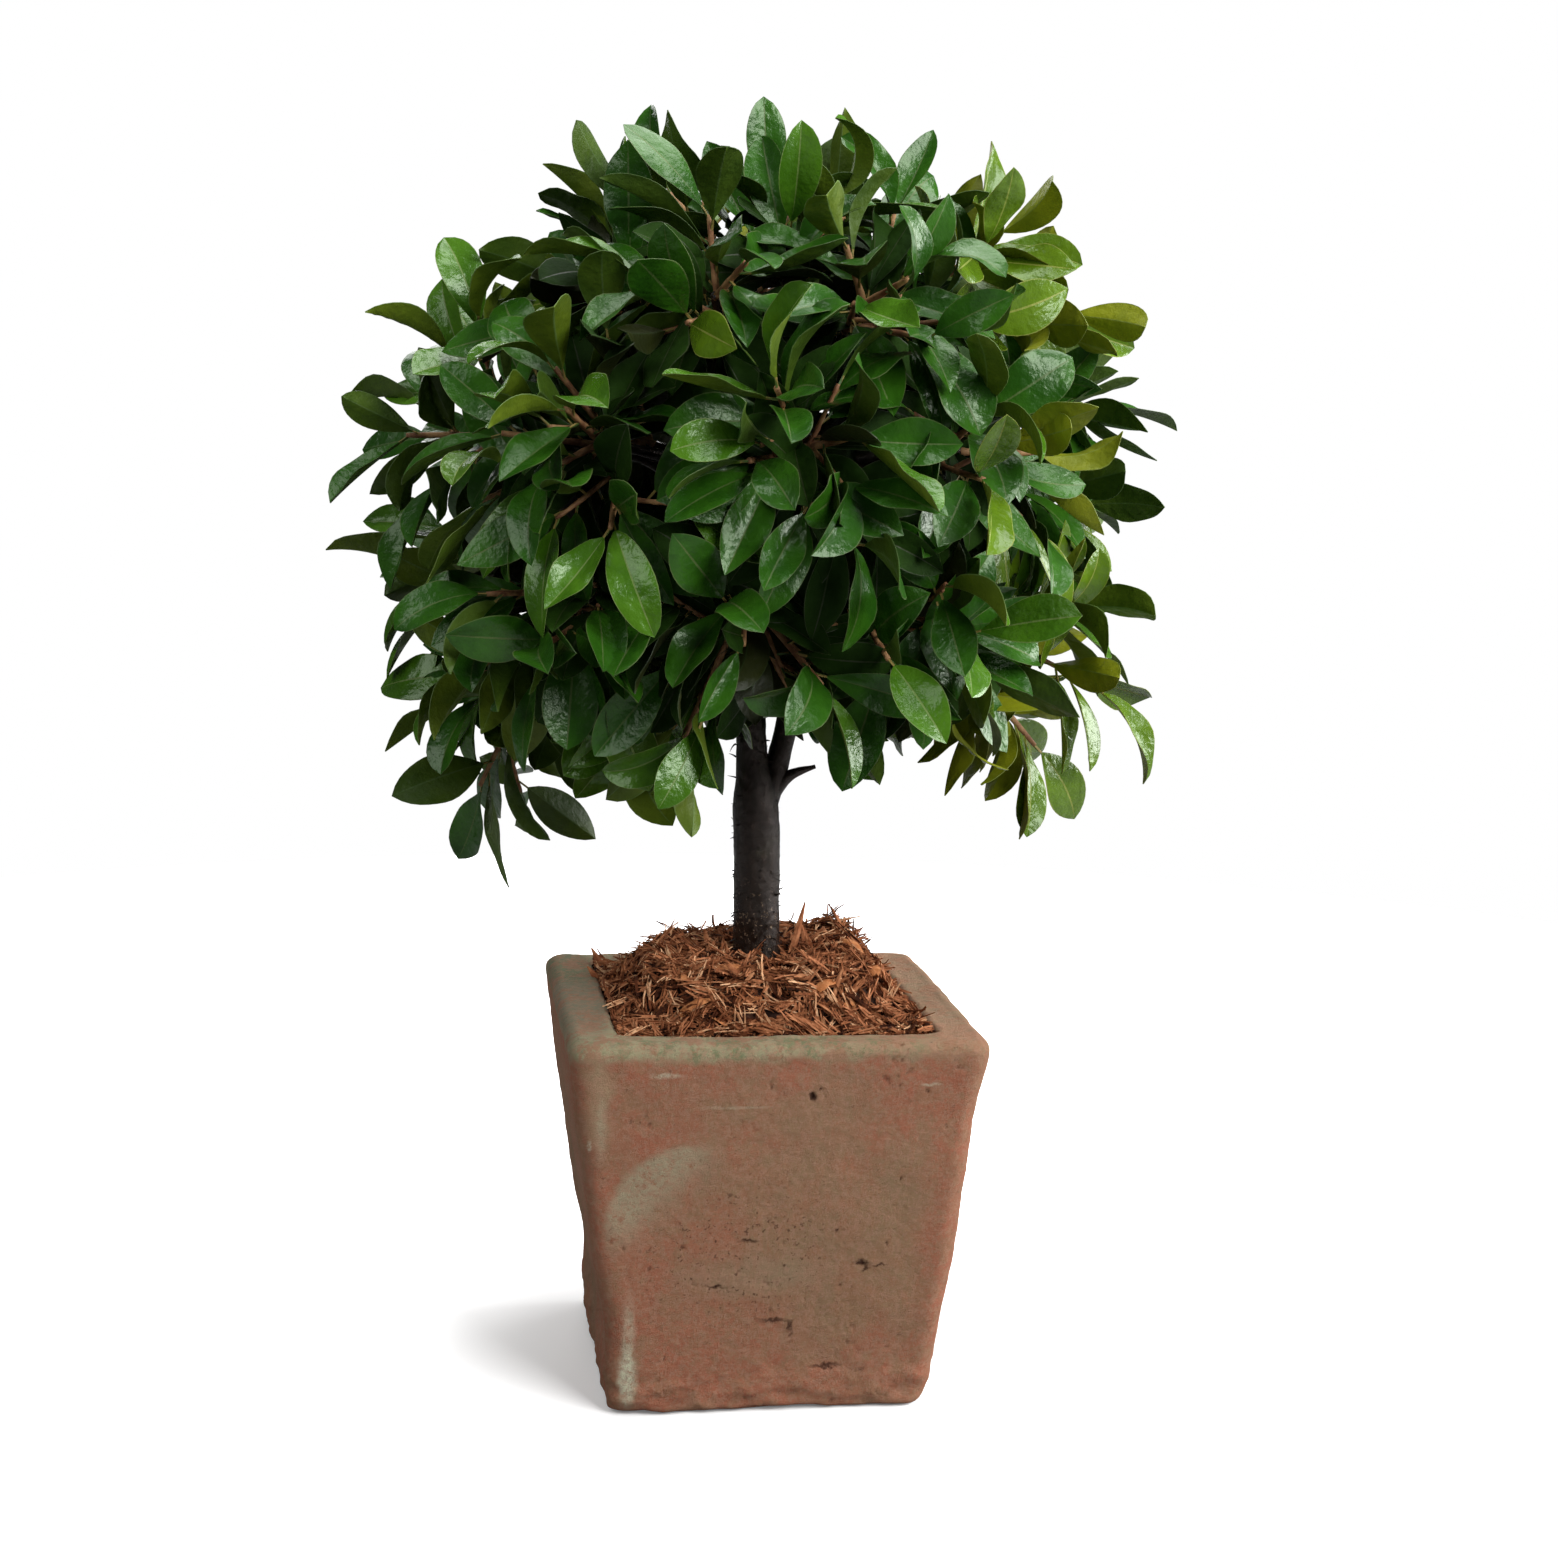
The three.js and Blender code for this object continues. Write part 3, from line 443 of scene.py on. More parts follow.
class Finish:
    """A material in the making. Its colours are laid one over the other."""

    def __init__(self, name, colour, roughness, specular=0.5, tint=(1, 1, 1, 1)):
        self.material = bpy.data.materials.new(name)
        self.material.use_nodes = True
        self.tree = self.material.node_tree
        self.shader = self.tree.nodes["Principled BSDF"]
        self.shader.inputs["Roughness"].default_value = roughness
        self.shader.inputs["Specular IOR Level"].default_value = specular
        self.shader.inputs["Specular Tint"].default_value = tint
        self.colour = (*colour, 1)
        self.place = self.stretched(1)

    def node(self, *about, **settings):
        return add_node(self.tree, *about, **settings)

    def stretched(self, scale):
        """Coordinates on the piece in metres, with heights times a scale."""
        place = self.node("TexCoord", {}, "Object")
        return self.node("Mapping", {"Vector": place, "Scale": (1, 1, scale)})

    def noise(self, size, detail=3, roughness=0.55, place=None, output="Fac"):
        """Noise from 0 to 1 in patches of about that size in millimetres."""
        inputs = {"Vector": place or self.place, "Scale": 1 / (size * MM)}
        return self.node("TexNoise", inputs | {"Detail": detail, "Roughness": roughness}, output)

    def ramp(self, value, low, high, least=0.0):
        """A smooth step from least to 1 as a value passes from low to high."""
        inputs = {"Value": value, "From Min": low, "From Max": high, "To Min": least}
        return self.node("MapRange", inputs, interpolation_type="SMOOTHSTEP")

    def speckle(self, size, detail, roughness, low, high, place=None):
        """Ragged spots: noise in patches of about that size, where it passes from low to high."""
        return self.ramp(self.noise(size, detail, roughness, place), low, high)

    def vector_maths(self, operation, *values, output=0):
        return self.node("VectorMath", dict(enumerate(values)), output, operation=operation)

    def patch(self, place, middle, sizes, edge):
        """1 inside a soft-edged patch round a point in millimetres, and 0 outside. With an edge
        below 0 it is the other way round."""
        away = self.vector_maths("SUBTRACT", place, [value * MM for value in middle])
        scaled = self.vector_maths("MULTIPLY", away, [1 / (value * MM) for value in sizes])
        return self.ramp(self.vector_maths("LENGTH", scaled, output="Value"), 1 + edge, 1 - edge)

    def warped(self, size, depth):
        """Coordinates on the piece, pushed about by noise so that edges of patches are ragged."""
        push = self.vector_maths("SUBTRACT", self.noise(size, 4, 0.5, output="Color"), (0.5, 0.5, 0.5))
        push = self.vector_maths("MULTIPLY", push, [depth * MM] * 3)
        return self.vector_maths("ADD", self.place, push)

    def product(self, first, *others):
        for other in others:
            first = self.node("Math", {0: first, 1: other}, operation="MULTIPLY")
        return first

    def lay(self, colour, *shares):
        """Lays a colour over what is there, by the product of some shares."""
        inputs = {0: self.product(*shares), 6: self.colour, 7: (*colour, 1)}
        self.colour = self.node("Mix", inputs, 2, data_type="RGBA")

    def made(self, relief, depth):
        """The material, with its colour joined and relief of that depth in millimetres."""
        normal = self.node("Bump", {"Height": relief, "Distance": depth * MM})
        self.tree.links.new(normal, self.shader.inputs["Normal"])
        self.tree.links.new(self.colour, self.shader.inputs["Base Color"])
        return self.material


def mottled(name, colours, size, roughness, grain, depth, specular=0.5):
    """A surface of two colours in patches, with a fine grain."""
    finish = Finish(name, colours[0], roughness, specular)
    finish.lay(colours[1], finish.speckle(size, 3, 0.55, 0.35, 0.65))
    return finish.made(finish.noise(grain), depth)


# The pot


def square_ring(sides):
    """One turn round a rounded square: for each point, the corner of the inner square that it is
    measured from, as shares of its half width, and the way it faces. Sides are the front, right,
    back and left faces' numbers of steps."""
    points = []
    for side, count in enumerate(sides):
        turn = side * math.pi / 2
        out = np.array((math.sin(turn), -math.cos(turn)))
        along = np.array((math.cos(turn), math.sin(turn)))
        points += [(out + along * share, out) for share in np.linspace(-1, 1, count + 1)]
        bend = turn + np.arange(1, CORNER_STEPS) / CORNER_STEPS * math.pi / 2
        points += [(out + along, (math.sin(angle), -math.cos(angle))) for angle in bend]
    return np.array(points).transpose(1, 0, 2)


def pot_profile():
    """Rows from the middle of the underside, up the outside, over the rim and down to the floor of
    the well: how far in from the wall's outer line, height, and the angle that the row faces."""
    lip, rim, inner = POT.foot_lip, POT.rim_lip, POT.inner_lip
    top, wall = POT.height, POT.wall
    right = math.pi / 2

    def bend(inset, z, radius, angles):
        return [(inset - radius * math.cos(a), z + radius * math.sin(a), a) for a in angles]

    rows = [(inset, 0, -right) for inset in (60, 40, 20, 10)]
    rows += bend(lip, lip, lip, np.linspace(-right, -0.2, 6))
    rows += [(0, z, 0) for z in np.linspace(lip, top - rim, 150)]
    rows += bend(rim, top - rim, rim, np.linspace(0.2, right, 8))
    rows += [(inset, top, right) for inset in np.linspace(rim + 1.3, wall - inner - 0.5, 6)]
    rows += bend(wall - inner, top - inner, inner, np.linspace(right, math.pi, 6))
    return rows + [(wall, z, math.pi) for z in (184, 180, 175, 168, 150, 120, 80, 40, POT.floor)]


def pot_rings():
    """The pot's points, ring by ring, with the way that each faces."""
    places, facings = square_ring(POT_STEPS)
    points = []
    normals = []
    for inset, z, angle in pot_profile():
        corner = mix(POT.outer_corner, POT.inner_corner, min(1, inset / POT.wall))
        flat = places * (wall_half(z) - inset - corner) + facings * corner
        points.append(np.insert(flat, 2, z, axis=1))
        normals.append(np.insert(facings * math.cos(angle), 2, math.sin(angle), axis=1))
    return np.array(points), np.array(normals)


def wall_half(z):
    """Half the pot's outer width at a height."""
    return mix(POT.foot_width, POT.rim_width, z / POT.height) / 2


def gouges(draw):
    """Every gouge as its face, place across and up that face, half sizes and depth."""
    for gouge in FRONT_GOUGES:
        yield 0, *gouge
    for i in range(3 * OTHER_GOUGES):
        z = draw(12, 175)
        x = wall_half(z) * draw(-0.85, 0.85)
        yield 1 + i // OTHER_GOUGES, x, z, mix(1.2, 5, draw() ** 2), draw(0.8, 1.6), draw(0.8, 1.8)


def gouge_bites():
    """The bites of every gouge: middle, half sizes along X, Y and Z, and depth."""
    draw = seeded_stream(SEEDS.gouges)
    for face, x, z, length, height, depth in gouges(draw):
        turn = Matrix.Rotation(face * math.pi / 2, 3, "Z")
        for _ in range(GOUGE_BITES):
            at_z = z + height * draw(-0.8, 0.8)
            middle = Vector((x + length * draw(-0.75, 0.75), -wall_half(at_z), at_z))
            sizes = Vector((length * draw(0.35, 0.7), 4, height * draw(0.5, 1)))
            yield np.array(turn @ middle), np.abs(np.array(turn @ sizes)), depth * draw(0.6, 1.1)


def shape_clay(points, normals):
    """The rings with the clay's waves, its lumpy foot and its gouges, and how deep each point lies."""
    flat = points.reshape(-1, 3)
    out = normals.reshape(-1, 3)
    z = flat[:, 2]
    half = np.abs(flat[:, :2]).max(axis=1)
    push = sum(depth * noise_at(flat + 40 * i, size) for i, (depth, size) in enumerate(CLAY_WAVES))
    for facing, height, spread, depth in WALL_WAVES:
        push += depth * np.exp(-(((z - height) / spread) ** 2)) * np.maximum(0, out[:, :2] @ facing)
    foot = 1 - smoothstep(z, *FOOT_FADE)
    for depth, flattened, shift, size in FOOT_WAVES:
        push += depth * foot * noise_at(flat * (1, 1, flattened) + shift, size)
    warp = np.column_stack([noise_at(flat + shift, 2.4) for shift in (5, 25, 45)])
    pits = np.zeros(len(flat))
    for middle, sizes, depth in gouge_bites():
        away = np.linalg.norm((flat + 0.8 * warp - middle) / sizes, axis=1)
        pits = np.maximum(pits, depth * np.exp(-(away**3)))
    pores = noise_at(flat + 7, PORES.size) * noise_at(flat + 70, PORES.cluster)
    pits += PORES.depth * smoothstep(pores, *PORES.fade)
    push -= pits
    in_well = half < wall_half(z) - POT.wall + 0.5
    push = np.where(in_well, np.minimum(push, 0.2) * 0.3, push)
    moved = flat + out * (push * smoothstep(z, 0, 3))[:, None]
    lumps = FOOT_LUMP.rise * np.maximum(0, noise_at(flat * (1, 1, 0) + 15, FOOT_LUMP.size))
    lumps *= 1 - smoothstep(z, *FOOT_LUMP.fade)
    at_edge = half > POT.foot_width / 2 - 8
    moved[:, 2] = np.maximum(moved[:, 2], 0) + np.where(at_edge, lumps, 0)
    return moved.reshape(points.shape), pits


def crescent(clay, place):
    """The worn arc on the front face: a disc less a smaller one, and only its upper left part."""
    disc = clay.patch(place, (-41, -88, 97), (42, 60, 44), 0.06)
    round_hole = clay.patch(place, (-27, -88, 88), (36, 90, 37), -0.34)
    upper_left = clay.patch(place, (-84, -90, 140), (50, 90, 48), 0.3)
    return clay.product(disc, round_hole, upper_left)


def colour_rim(clay, ragged):
    """The rim's green and mossy band over the clay's colour, worn bare in places."""
    top = POT.height
    band = clay.ramp(clay.node("SeparateXYZ", {0: ragged}, "Z"), (top - 10) * MM, (top - 5) * MM)
    greener = clay.ramp(clay.node("SeparateXYZ", {0: ragged}, "X"), 0.15, -0.03)
    clay.lay(CLAY["rim"], band, greener, 0.9)
    clay.lay(CLAY["rim_grey"], band, clay.patch(clay.place, (-92, 20, top), (16, 96, 12), 0.3), 0.75)
    front = clay.patch(clay.place, (-15, -93, top), (86, 18, 12), 0.4)
    clay.lay(CLAY["moss"], band, clay.speckle(9, 8, 0.75, 0.49, 0.58), front, 0.7)
    clay.lay(CLAY["moss"], clay.patch(clay.place, (-90, 70, top), (14, 40, 12), 0.4), 0.5)
    clay.lay(CLAY["rim_grey"], band, clay.speckle(6, 8, 0.8, 0.54, 0.62), 0.5)
    clay.lay(CLAY["brown"], band, clay.speckle(16, 8, 0.8, 0.5, 0.55), 0.8)


def terracotta():
    """Weathered clay: dusty red-brown with khaki patches, a green rim, pale smears, and dark pits whose
    darkness is painted shade.
    """
    clay = Finish("terracotta", CLAY["red"], 0.9, 0.2)
    ragged = clay.warped(13, 12)
    frayed = clay.warped(4, 3.5)
    torn = clay.warped(3, 6)
    clay.lay(CLAY["brown"], clay.speckle(30, 8, 0.76, 0.42, 0.58, clay.stretched(0.6)))
    for name, middle, sizes, share in PATCHES:
        clay.lay(CLAY[name], clay.patch(ragged, middle, sizes, 0.55), share)
    clay.lay(CLAY["khaki"], clay.speckle(10, 8, 0.8, 0.47, 0.56), 0.42)
    clay.lay(CLAY["red"], clay.speckle(5, 5, 0.7, 0.5, 0.66, clay.stretched(0.16)), 0.2)
    clay.lay(CLAY["crescent"], crescent(clay, frayed), clay.speckle(6, 8, 0.85, 0.38, 0.48), 0.95)
    colour_rim(clay, ragged)
    scraped = clay.speckle(3.5, 6, 0.8, 0.34, 0.5)
    for middle, sizes, share in SMEARS:
        clay.lay(CLAY["chalk"], clay.patch(frayed, middle, sizes, 0.6), scraped, share)
    clay.lay(CLAY["dust"], clay.speckle(3.4, 7, 0.85, 0.47, 0.57), 0.55)
    clay.lay(CLAY["dark"], clay.speckle(3.6, 7, 0.85, 0.58, 0.66), 0.5)
    pocked = clay.patch(ragged, (-18, -84, 84), (46, 60, 36), 0.5)
    clay.lay(CLAY["dark"], clay.speckle(2.2, 3, 0.6, 0.6, 0.68), pocked, 0.75)
    # Painted shade: the pits, pores and gouges are darkened by how deep each point lies.
    depth = clay.node("Attribute", {}, "Fac", attribute_name="pit")
    clay.lay(CLAY["dark"], clay.ramp(depth, 0.2, 1.4), 0.85)
    for middle, sizes in CRACKS:
        clay.lay(CLAY["crack"], clay.patch(torn, middle, sizes, 0.8), 0.85)
    relief = clay.node("Math", {0: clay.noise(11, 4, 0.6), 1: clay.noise(3.0, 8, 0.9)}, operation="ADD")
    return clay.made(relief, 3.2)


def make_pot():
    shaped, pits = shape_clay(*pot_rings())
    pot = add_piece("clay_pot", *closed_rings(shaped), [terracotta()], "terracotta")
    # How deep each point lies, by which the clay's colour lays painted shade in the pits.
    pit = pot.data.attributes.new("pit", "FLOAT", "POINT")
    pit.data.foreach_set("value", np.append(pits, (0, 0)).astype(np.float32))
    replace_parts(pot, "terracotta_pot")


# The mulch


def well_half(z):
    """Half the width of the pot's well at a height."""
    share = (z - POT.floor) / (POT.height - POT.floor)
    return mix(POT.foot_width, POT.rim_width, share) / 2 - POT.wall


def mulch_height(x, y):
    """The height of the heap, as in the part: from the wall up to the stem, with humps."""
    out = np.maximum(np.maximum(np.abs(x), np.abs(y)), np.hypot(x, y) * 0.9)
    heap = 1 - smoothstep(out, MULCH.flat, well_half(POT.height))
    rise = MULCH.bump * np.sin(x * 0.16 + y * 0.05) * np.cos(y * 0.13 - x * 0.07)
    for hump_x, hump_y, height, spread in HUMPS:
        rise = rise + height * np.exp(-((x - hump_x) ** 2 + (y - hump_y) ** 2) / spread**2)
    return mix(MULCH.edge, MULCH.peak, heap) + rise * np.minimum(1, 3 * heap)


def mulch_mound():
    """The dark bed under the splinters, a rounded square of rings that sinks a little at its edge. Its
    near-black colour is painted shade for the gaps between the splinters.
    """
    places, facings = square_ring(BED_STEPS)

    def square(half, corner):
        return places * (half - corner) + facings * corner

    rings = []
    for share in np.linspace(0.04, 1, 34):
        flat = square((well_half(POT.height) - 0.5) * share, POT.inner_corner * share)
        points = np.column_stack([flat, mulch_height(flat[:, 0], flat[:, 1]) - MULCH.bed])
        points[:, 2] += 1.6 * noise_at(points, 7) + 0.9 * noise_at(points, 3)
        rings.append(points)
    foot = square(well_half(MULCH.foot) - 0.5, POT.inner_corner)
    rings.append(np.insert(foot, 2, MULCH.foot, axis=1))
    return closed_rings(np.array(rings)[::-1])


def bundle_frames(rng, count, steep):
    """Where bundles of splinters lie on the heap: their middles, ways along and up, and rises."""
    reach = well_half(POT.height) - 1
    x, y = [reach * (2 * ((step * np.arange(count) + rng.uniform()) % 1) - 1) for step in EVEN_STEPS]
    near_stem = np.hypot(x - TRUNK[1, 0], y) < TRUNK[1, 2] + BUNDLES.clear
    x = np.where(near_stem, x + np.sign(x - TRUNK[1, 0]) * BUNDLES.aside, x)
    heading = rng.uniform(0, 2 * math.pi, count)
    falls = [mulch_height(x - i, y - j) - mulch_height(x + i, y + j) for i, j in ((2, 0), (0, 2))]
    normal = unit(np.column_stack([*falls, np.full(count, 4)]))
    level = np.column_stack([np.cos(heading), np.sin(heading), np.zeros(count)])
    across = unit(np.cross(normal, level))
    tilt = (steep * np.abs(rng.normal(0, 1, count))).clip(0, 1.2)
    along = -turned(np.cross(across, normal), across, tilt)
    z = mulch_height(x, y) + rng.uniform(*BUNDLES.depths, count)
    return np.column_stack([x, y, z]), along, turned(normal, across, tilt), np.sin(tilt)[:, None]


def splinter_paths(rng, bundles, in_bundle, length, steep):
    """The bent paths of bundles of nearly parallel splinters, and the way that each faces up."""
    frames = bundle_frames(rng, bundles, steep)
    middle, along, normal, rise = [np.repeat(values, in_bundle, axis=0) for values in frames]
    count = len(middle)

    def scattered(spread):
        return rng.normal(0, spread, count)[:, None]

    across = np.cross(normal, along)
    sizes = length * np.repeat(rng.uniform(0.5, 1.3, bundles), in_bundle) * rng.uniform(0.5, 1.1, count)
    sizes = sizes[:, None]
    along = turned(along, normal, rng.normal(0, 0.17, count))
    middle = middle + across * scattered(1.2) * (in_bundle > 1)
    middle = middle + normal * scattered(0.6)
    middle = middle + along * (scattered(0.2) + 0.36 * rise) * sizes
    bow = (normal * scattered(0.035) + across * scattered(0.045)) * sizes
    shares = np.linspace(-0.5, 0.5, SPLINTER_RINGS)[:, None]
    paths = middle[:, None] + (along * sizes)[:, None] * shares + bow[:, None] * (1 - (2 * shares) ** 2)
    return keep_in_well(paths), turned(normal, along, rng.normal(0, 0.6, count))


def keep_in_well(paths):
    """The paths moved in so that no splinter passes through the pot's wall."""
    low = paths.min(axis=1)
    high = paths.max(axis=1)
    over_rim = low[:, 2:] > POT.height + 1.5
    limit = np.where(over_rim, POT.rim_width / 2, well_half(POT.height) - 2)
    shift = np.minimum(0, limit - high[:, :2]) - np.minimum(0, limit + low[:, :2])
    return paths + np.insert(shift, 2, 0, axis=1)[:, None]


def add_splinters(kind, material, *shape):
    points, faces = tubes(*shape)
    add_piece("splinters_" + kind, points, faces, [material], "mulch", crease=35)


def make_bundles(kind, material, seed, bundles, in_bundle, length, width, steep):
    rng = np.random.default_rng(seed)
    paths, upright = splinter_paths(rng, bundles, in_bundle, length, steep)
    count = len(paths)
    inner = np.ones((count, SPLINTER_RINGS - 2))
    torn = np.column_stack([rng.uniform(0.2, 1.0, count), inner, rng.uniform(0.2, 1.0, count)])
    ragged = torn * rng.uniform(0.7, 1.3, torn.shape)
    widths = (width * rng.uniform(0.4, 1.5, count) / 2)[:, None] * ragged
    heights = (rng.uniform(0.45, 1.0, count) / 2)[:, None] * np.sqrt(torn)
    add_splinters(kind, material, paths, widths, heights, 3 if in_bundle > 1 else 4, upright[:, None])


def make_standing_splinters(material):
    """The few splinters that stand up out of the heap or lean over the rim."""
    roots = np.array([(x, y, mulch_height(x, y) - 5) for x, y, _ in STANDING])
    ways = np.array([way for _, _, way in STANDING])
    paths = roots[:, None] + ways[:, None] * np.linspace(0, 1, 5)[:, None]
    sizes = [(1.5, 1.9, 1.8, 1.3, 0.4), (0.6, 0.7, 0.7, 0.5, 0.3)]
    add_splinters("standing", material, paths, *sizes, 4, (0.2, -1.0, 0.1))


def make_lying_chips(material):
    """The broad chips that follow the heap's slope."""
    shares = np.linspace(0, 1, 6)
    starts = np.array([(x, y) for x, y, _ in LYING])
    ways = np.array([way for _, _, way in LYING])
    flat = starts[:, None] + ways[:, None] * shares[:, None]
    z = mulch_height(flat[..., 0], flat[..., 1]) + 1.2 + 1.4 * np.sin(math.pi * shares)
    paths = np.concatenate([flat, z[..., None]], axis=-1)
    sizes = [(2.0, 3.2, 2.8, 3.3, 2.7, 1.7), (0.6, 0.9, 1.0, 0.9, 0.8, 0.5)]
    add_splinters("lying", material, paths, *sizes, 6, (0.0, -0.3, 1.0))


def make_mulch():
    bed = mottled("mulch_bed", BED_COLOURS, 6, 0.95, 1.6, 1.2)
    mound = add_piece("mulch_bed", *mulch_mound(), [bed], "mulch")
    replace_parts(mound, "bark_mulch")
    for kind, *numbers, colours in SPLINTERS:
        material = mottled("splinters_" + kind, colours, 4, 0.9, 1.0, 0.5, specular=0.1)
        make_bundles(kind, material, *numbers)
        if kind == "red":
            make_standing_splinters(material)
        if kind == "chips":
            make_lying_chips(material)


def dress_soil():
    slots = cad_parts["soil_fill"].data.materials
    slots.clear()
    slots.append(mottled("soil", SOIL_COLOURS, 8, 0.95, 2, 1))


# Limbs


def trunk_at(z):
    """The trunk's middle and radius at heights, straight between those that TRUNK names."""
    x = np.interp(z, TRUNK[:, 1], TRUNK[:, 0])
    middle = np.stack([x, np.zeros_like(x), np.clip(z, TRUNK_FOOT, TRUNK_TIP)], axis=-1)
    return middle, np.interp(z, TRUNK[:, 1], TRUNK[:, 2])


def lay_out_masses():
    """Every mass with its direction, reach, the root and tip of its bough, and its sprays."""
    masses = []
    for level, first, elevation, sides, reaches in RINGS:
        count = len(sides)
        for i, (side, reach) in enumerate(zip(sides, reaches)):
            direction = direction_to(first + 360 / count * i, elevation)
            step = i * BOUGH.skip % count - (count - 1) / 2
            root = CROWN[2] + direction[2] * BOUGH.reach - BOUGH.rise + step * BOUGH.stagger
            masses.append(Values(
                name=level + "_" + side,
                seed=SEEDS.first_mass + len(masses) * SEEDS.mass_step,
                direction=direction,
                reach=reach,
                root=trunk_at(root)[0],
                tip=CROWN + direction * BOUGH.reach,
                sprays=[],
            ))
    masses[0].tip = trunk_at(TRUNK_TIP)[0]
    return masses


def smooth_path(points, count):
    """Evenly spaced points along a smooth curve through some points."""
    points = np.array(points, float)
    padded = np.concatenate([[2 * points[0] - points[1]], points, [2 * points[-1] - points[-2]]])
    lengths = np.linalg.norm(np.diff(padded, axis=0), axis=1) ** 0.5
    knots = np.concatenate([[0], np.cumsum(lengths)])
    dense = []
    for i in range(1, len(padded) - 2):
        t = np.linspace(knots[i], knots[i + 1], 24, endpoint=False)[:, None]
        knot = knots[i - 1 : i + 3]
        row = padded[i - 1 : i + 3]
        for spans in ([(0, 1), (1, 2), (2, 3)], [(0, 2), (1, 3)], [(1, 2)]):
            row = [
                ((knot[b] - t) * low + (t - knot[a]) * high) / (knot[b] - knot[a])
                for (a, b), low, high in zip(spans, row, row[1:])
            ]
        dense.append(row[0])
    line = np.concatenate(dense + [padded[-2:-1]])
    far = np.concatenate([[0], np.cumsum(np.linalg.norm(np.diff(line, axis=0), axis=1))])
    even = np.linspace(0, far[-1], count)
    return np.column_stack([np.interp(even, far, line[:, axis]) for axis in range(3)])


def bough_path(mass, count):
    """A bough and the stem that goes on from it: out of the trunk, then along its direction."""
    if mass.name == FORK.mass:
        root = trunk_at(FORK.root_height)[0]
        out = unit(mass.direction * (1, 1, 0))
        up = np.array((0, 0, 1))
        rising = [root + out * away + up * height for away, height in FORK.bends]
        before = mass.tip - mass.direction * FORK.back - up * FORK.below
        bend = [root, *rising, before, mass.tip]
    else:
        share = np.linspace(0, 1, 9)[:, None]
        knee = mass.tip - mass.direction * BOUGH.straight
        bend = (1 - share) ** 2 * mass.root + 2 * share * (1 - share) * knee + share**2 * mass.tip
    return smooth_path([*bend, CROWN + mass.direction * STEM.end], count)


def barked(path, radii, sides, relief):
    """A limb's rings, with bark raised and sunk along it in ridges."""
    out = spokes(*ways_across(path, (0, 1, 0)), sides)
    points = path[:, None] + out * radii[:, None, None]
    flat = points.reshape(-1, 3)
    ridges = noise_at(flat * (1, 1, 0.28), 3.4) + 0.6 * noise_at(flat * (1, 1, 0.5) + 30, 1.7)
    push = relief * (ridges + 1.1 * noise_at(flat + 60, 13))
    return closed_rings(points + out * push.reshape(len(path), sides, 1))


def bark_material():
    """Near-black bark with grey ridges and beige specks near its foot."""
    bark = Finish("bark", (0.0027, 0.0015, 0.0010), 0.21, 0.5, (1.0, 0.86, 0.78, 1))
    grain = bark.stretched(0.35)
    bark.lay((0.019, 0.0120, 0.0088), bark.speckle(4, 6, 0.75, 0.45, 0.66, grain))
    low = bark.ramp(bark.node("SeparateXYZ", {0: bark.place}, "Z"), 0.27, 0.2)
    bark.lay((0.30, 0.215, 0.145), bark.speckle(2.2, 4, 0.75, 0.59, 0.65), low)
    bark.lay((0.05, 0.05, 0.03), bark.speckle(22, 4, 0.55, 0.55, 0.7), 0.3)
    return bark.made(bark.noise(2.0, 6, 0.8, grain), 0.55)


def trunk_hairs(rng):
    """Loose fibres and nubs that stand off the bark."""
    count = HAIRS.count
    middle, radius = trunk_at(rng.uniform(*HAIRS.heights, count))
    angle = rng.uniform(0, 2 * math.pi, count)
    out = np.column_stack([np.cos(angle), np.sin(angle), rng.normal(0, 0.5, count)])
    root = middle + out * (1, 1, 0) * (radius - 0.4)[:, None]
    length = rng.uniform(*HAIRS.lengths, (count, 1, 1))
    lean = rng.normal(0, 0.5, (count, 3)) * (1, 1, 1.6)
    shares = np.linspace(0, 1, 4)[:, None]
    paths = root[:, None] + (out[:, None] * shares + lean[:, None] * shares**2 * 0.5) * length
    radii = np.array(HAIRS.radii) * rng.uniform(0.6, 1.5, (count, 1))
    return tubes(paths, radii, radii, 5)


def make_trunk(bark):
    close = np.linspace(TRUNK_FOOT, BARK.close_to, BARK.close_rings)
    z = np.append(close, np.linspace(BARK.wide_from, TRUNK_TIP, BARK.wide_rings))
    middle, radius = trunk_at(z)
    swell = smoothstep(z, *SWELL.rise) * (1 - smoothstep(z, *SWELL.fall))
    trunk = barked(middle, radius - BARK.inset + swell, BARK.sides, BARK.relief)
    hairs = trunk_hairs(np.random.default_rng(SEEDS.hairs))
    points, faces = joined([trunk, hairs])
    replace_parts(add_piece("trunk_bark", points, faces, [bark], "bark"), "trunk")


def make_boughs(masses, bark):
    """The fork's limb with its cut twig, and every bough with the stem that goes on from it."""
    limbs = []
    for mass in masses[1:]:
        limb = FORK if mass.name == FORK.mass else BOUGH
        path = bough_path(mass, limb.rings)
        far = np.linalg.norm(path - mass.tip, axis=1).argmin()
        radii = np.interp(np.arange(limb.rings), [0, far, limb.rings - 1], [limb.root, BOUGH.tip, STEM.tip])
        limbs.append(barked(path, radii, limb.sides, limb.relief))
        if limb is FORK:
            foot = path[int(STUB.at * far)]
            knee = foot + (STUB.length * 0.45, -1, STUB.rise * 0.7)
            stub = smooth_path([foot, knee, foot + (STUB.length, -2, STUB.rise)], STUB.rings)
            radii = np.linspace(STUB.root, STUB.tip, STUB.rings)
            limbs.append(barked(stub, radii, STUB.sides, STUB.relief))
    boughs = add_piece("bough_bark", *joined(limbs), [bark], "bark")
    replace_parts(boughs, *["bough_" + mass.name for mass in masses[1:]])


# The rule by which the foliage grows


def mass_nearest(direction, masses):
    return max(masses, key=lambda mass: mass.direction @ direction)


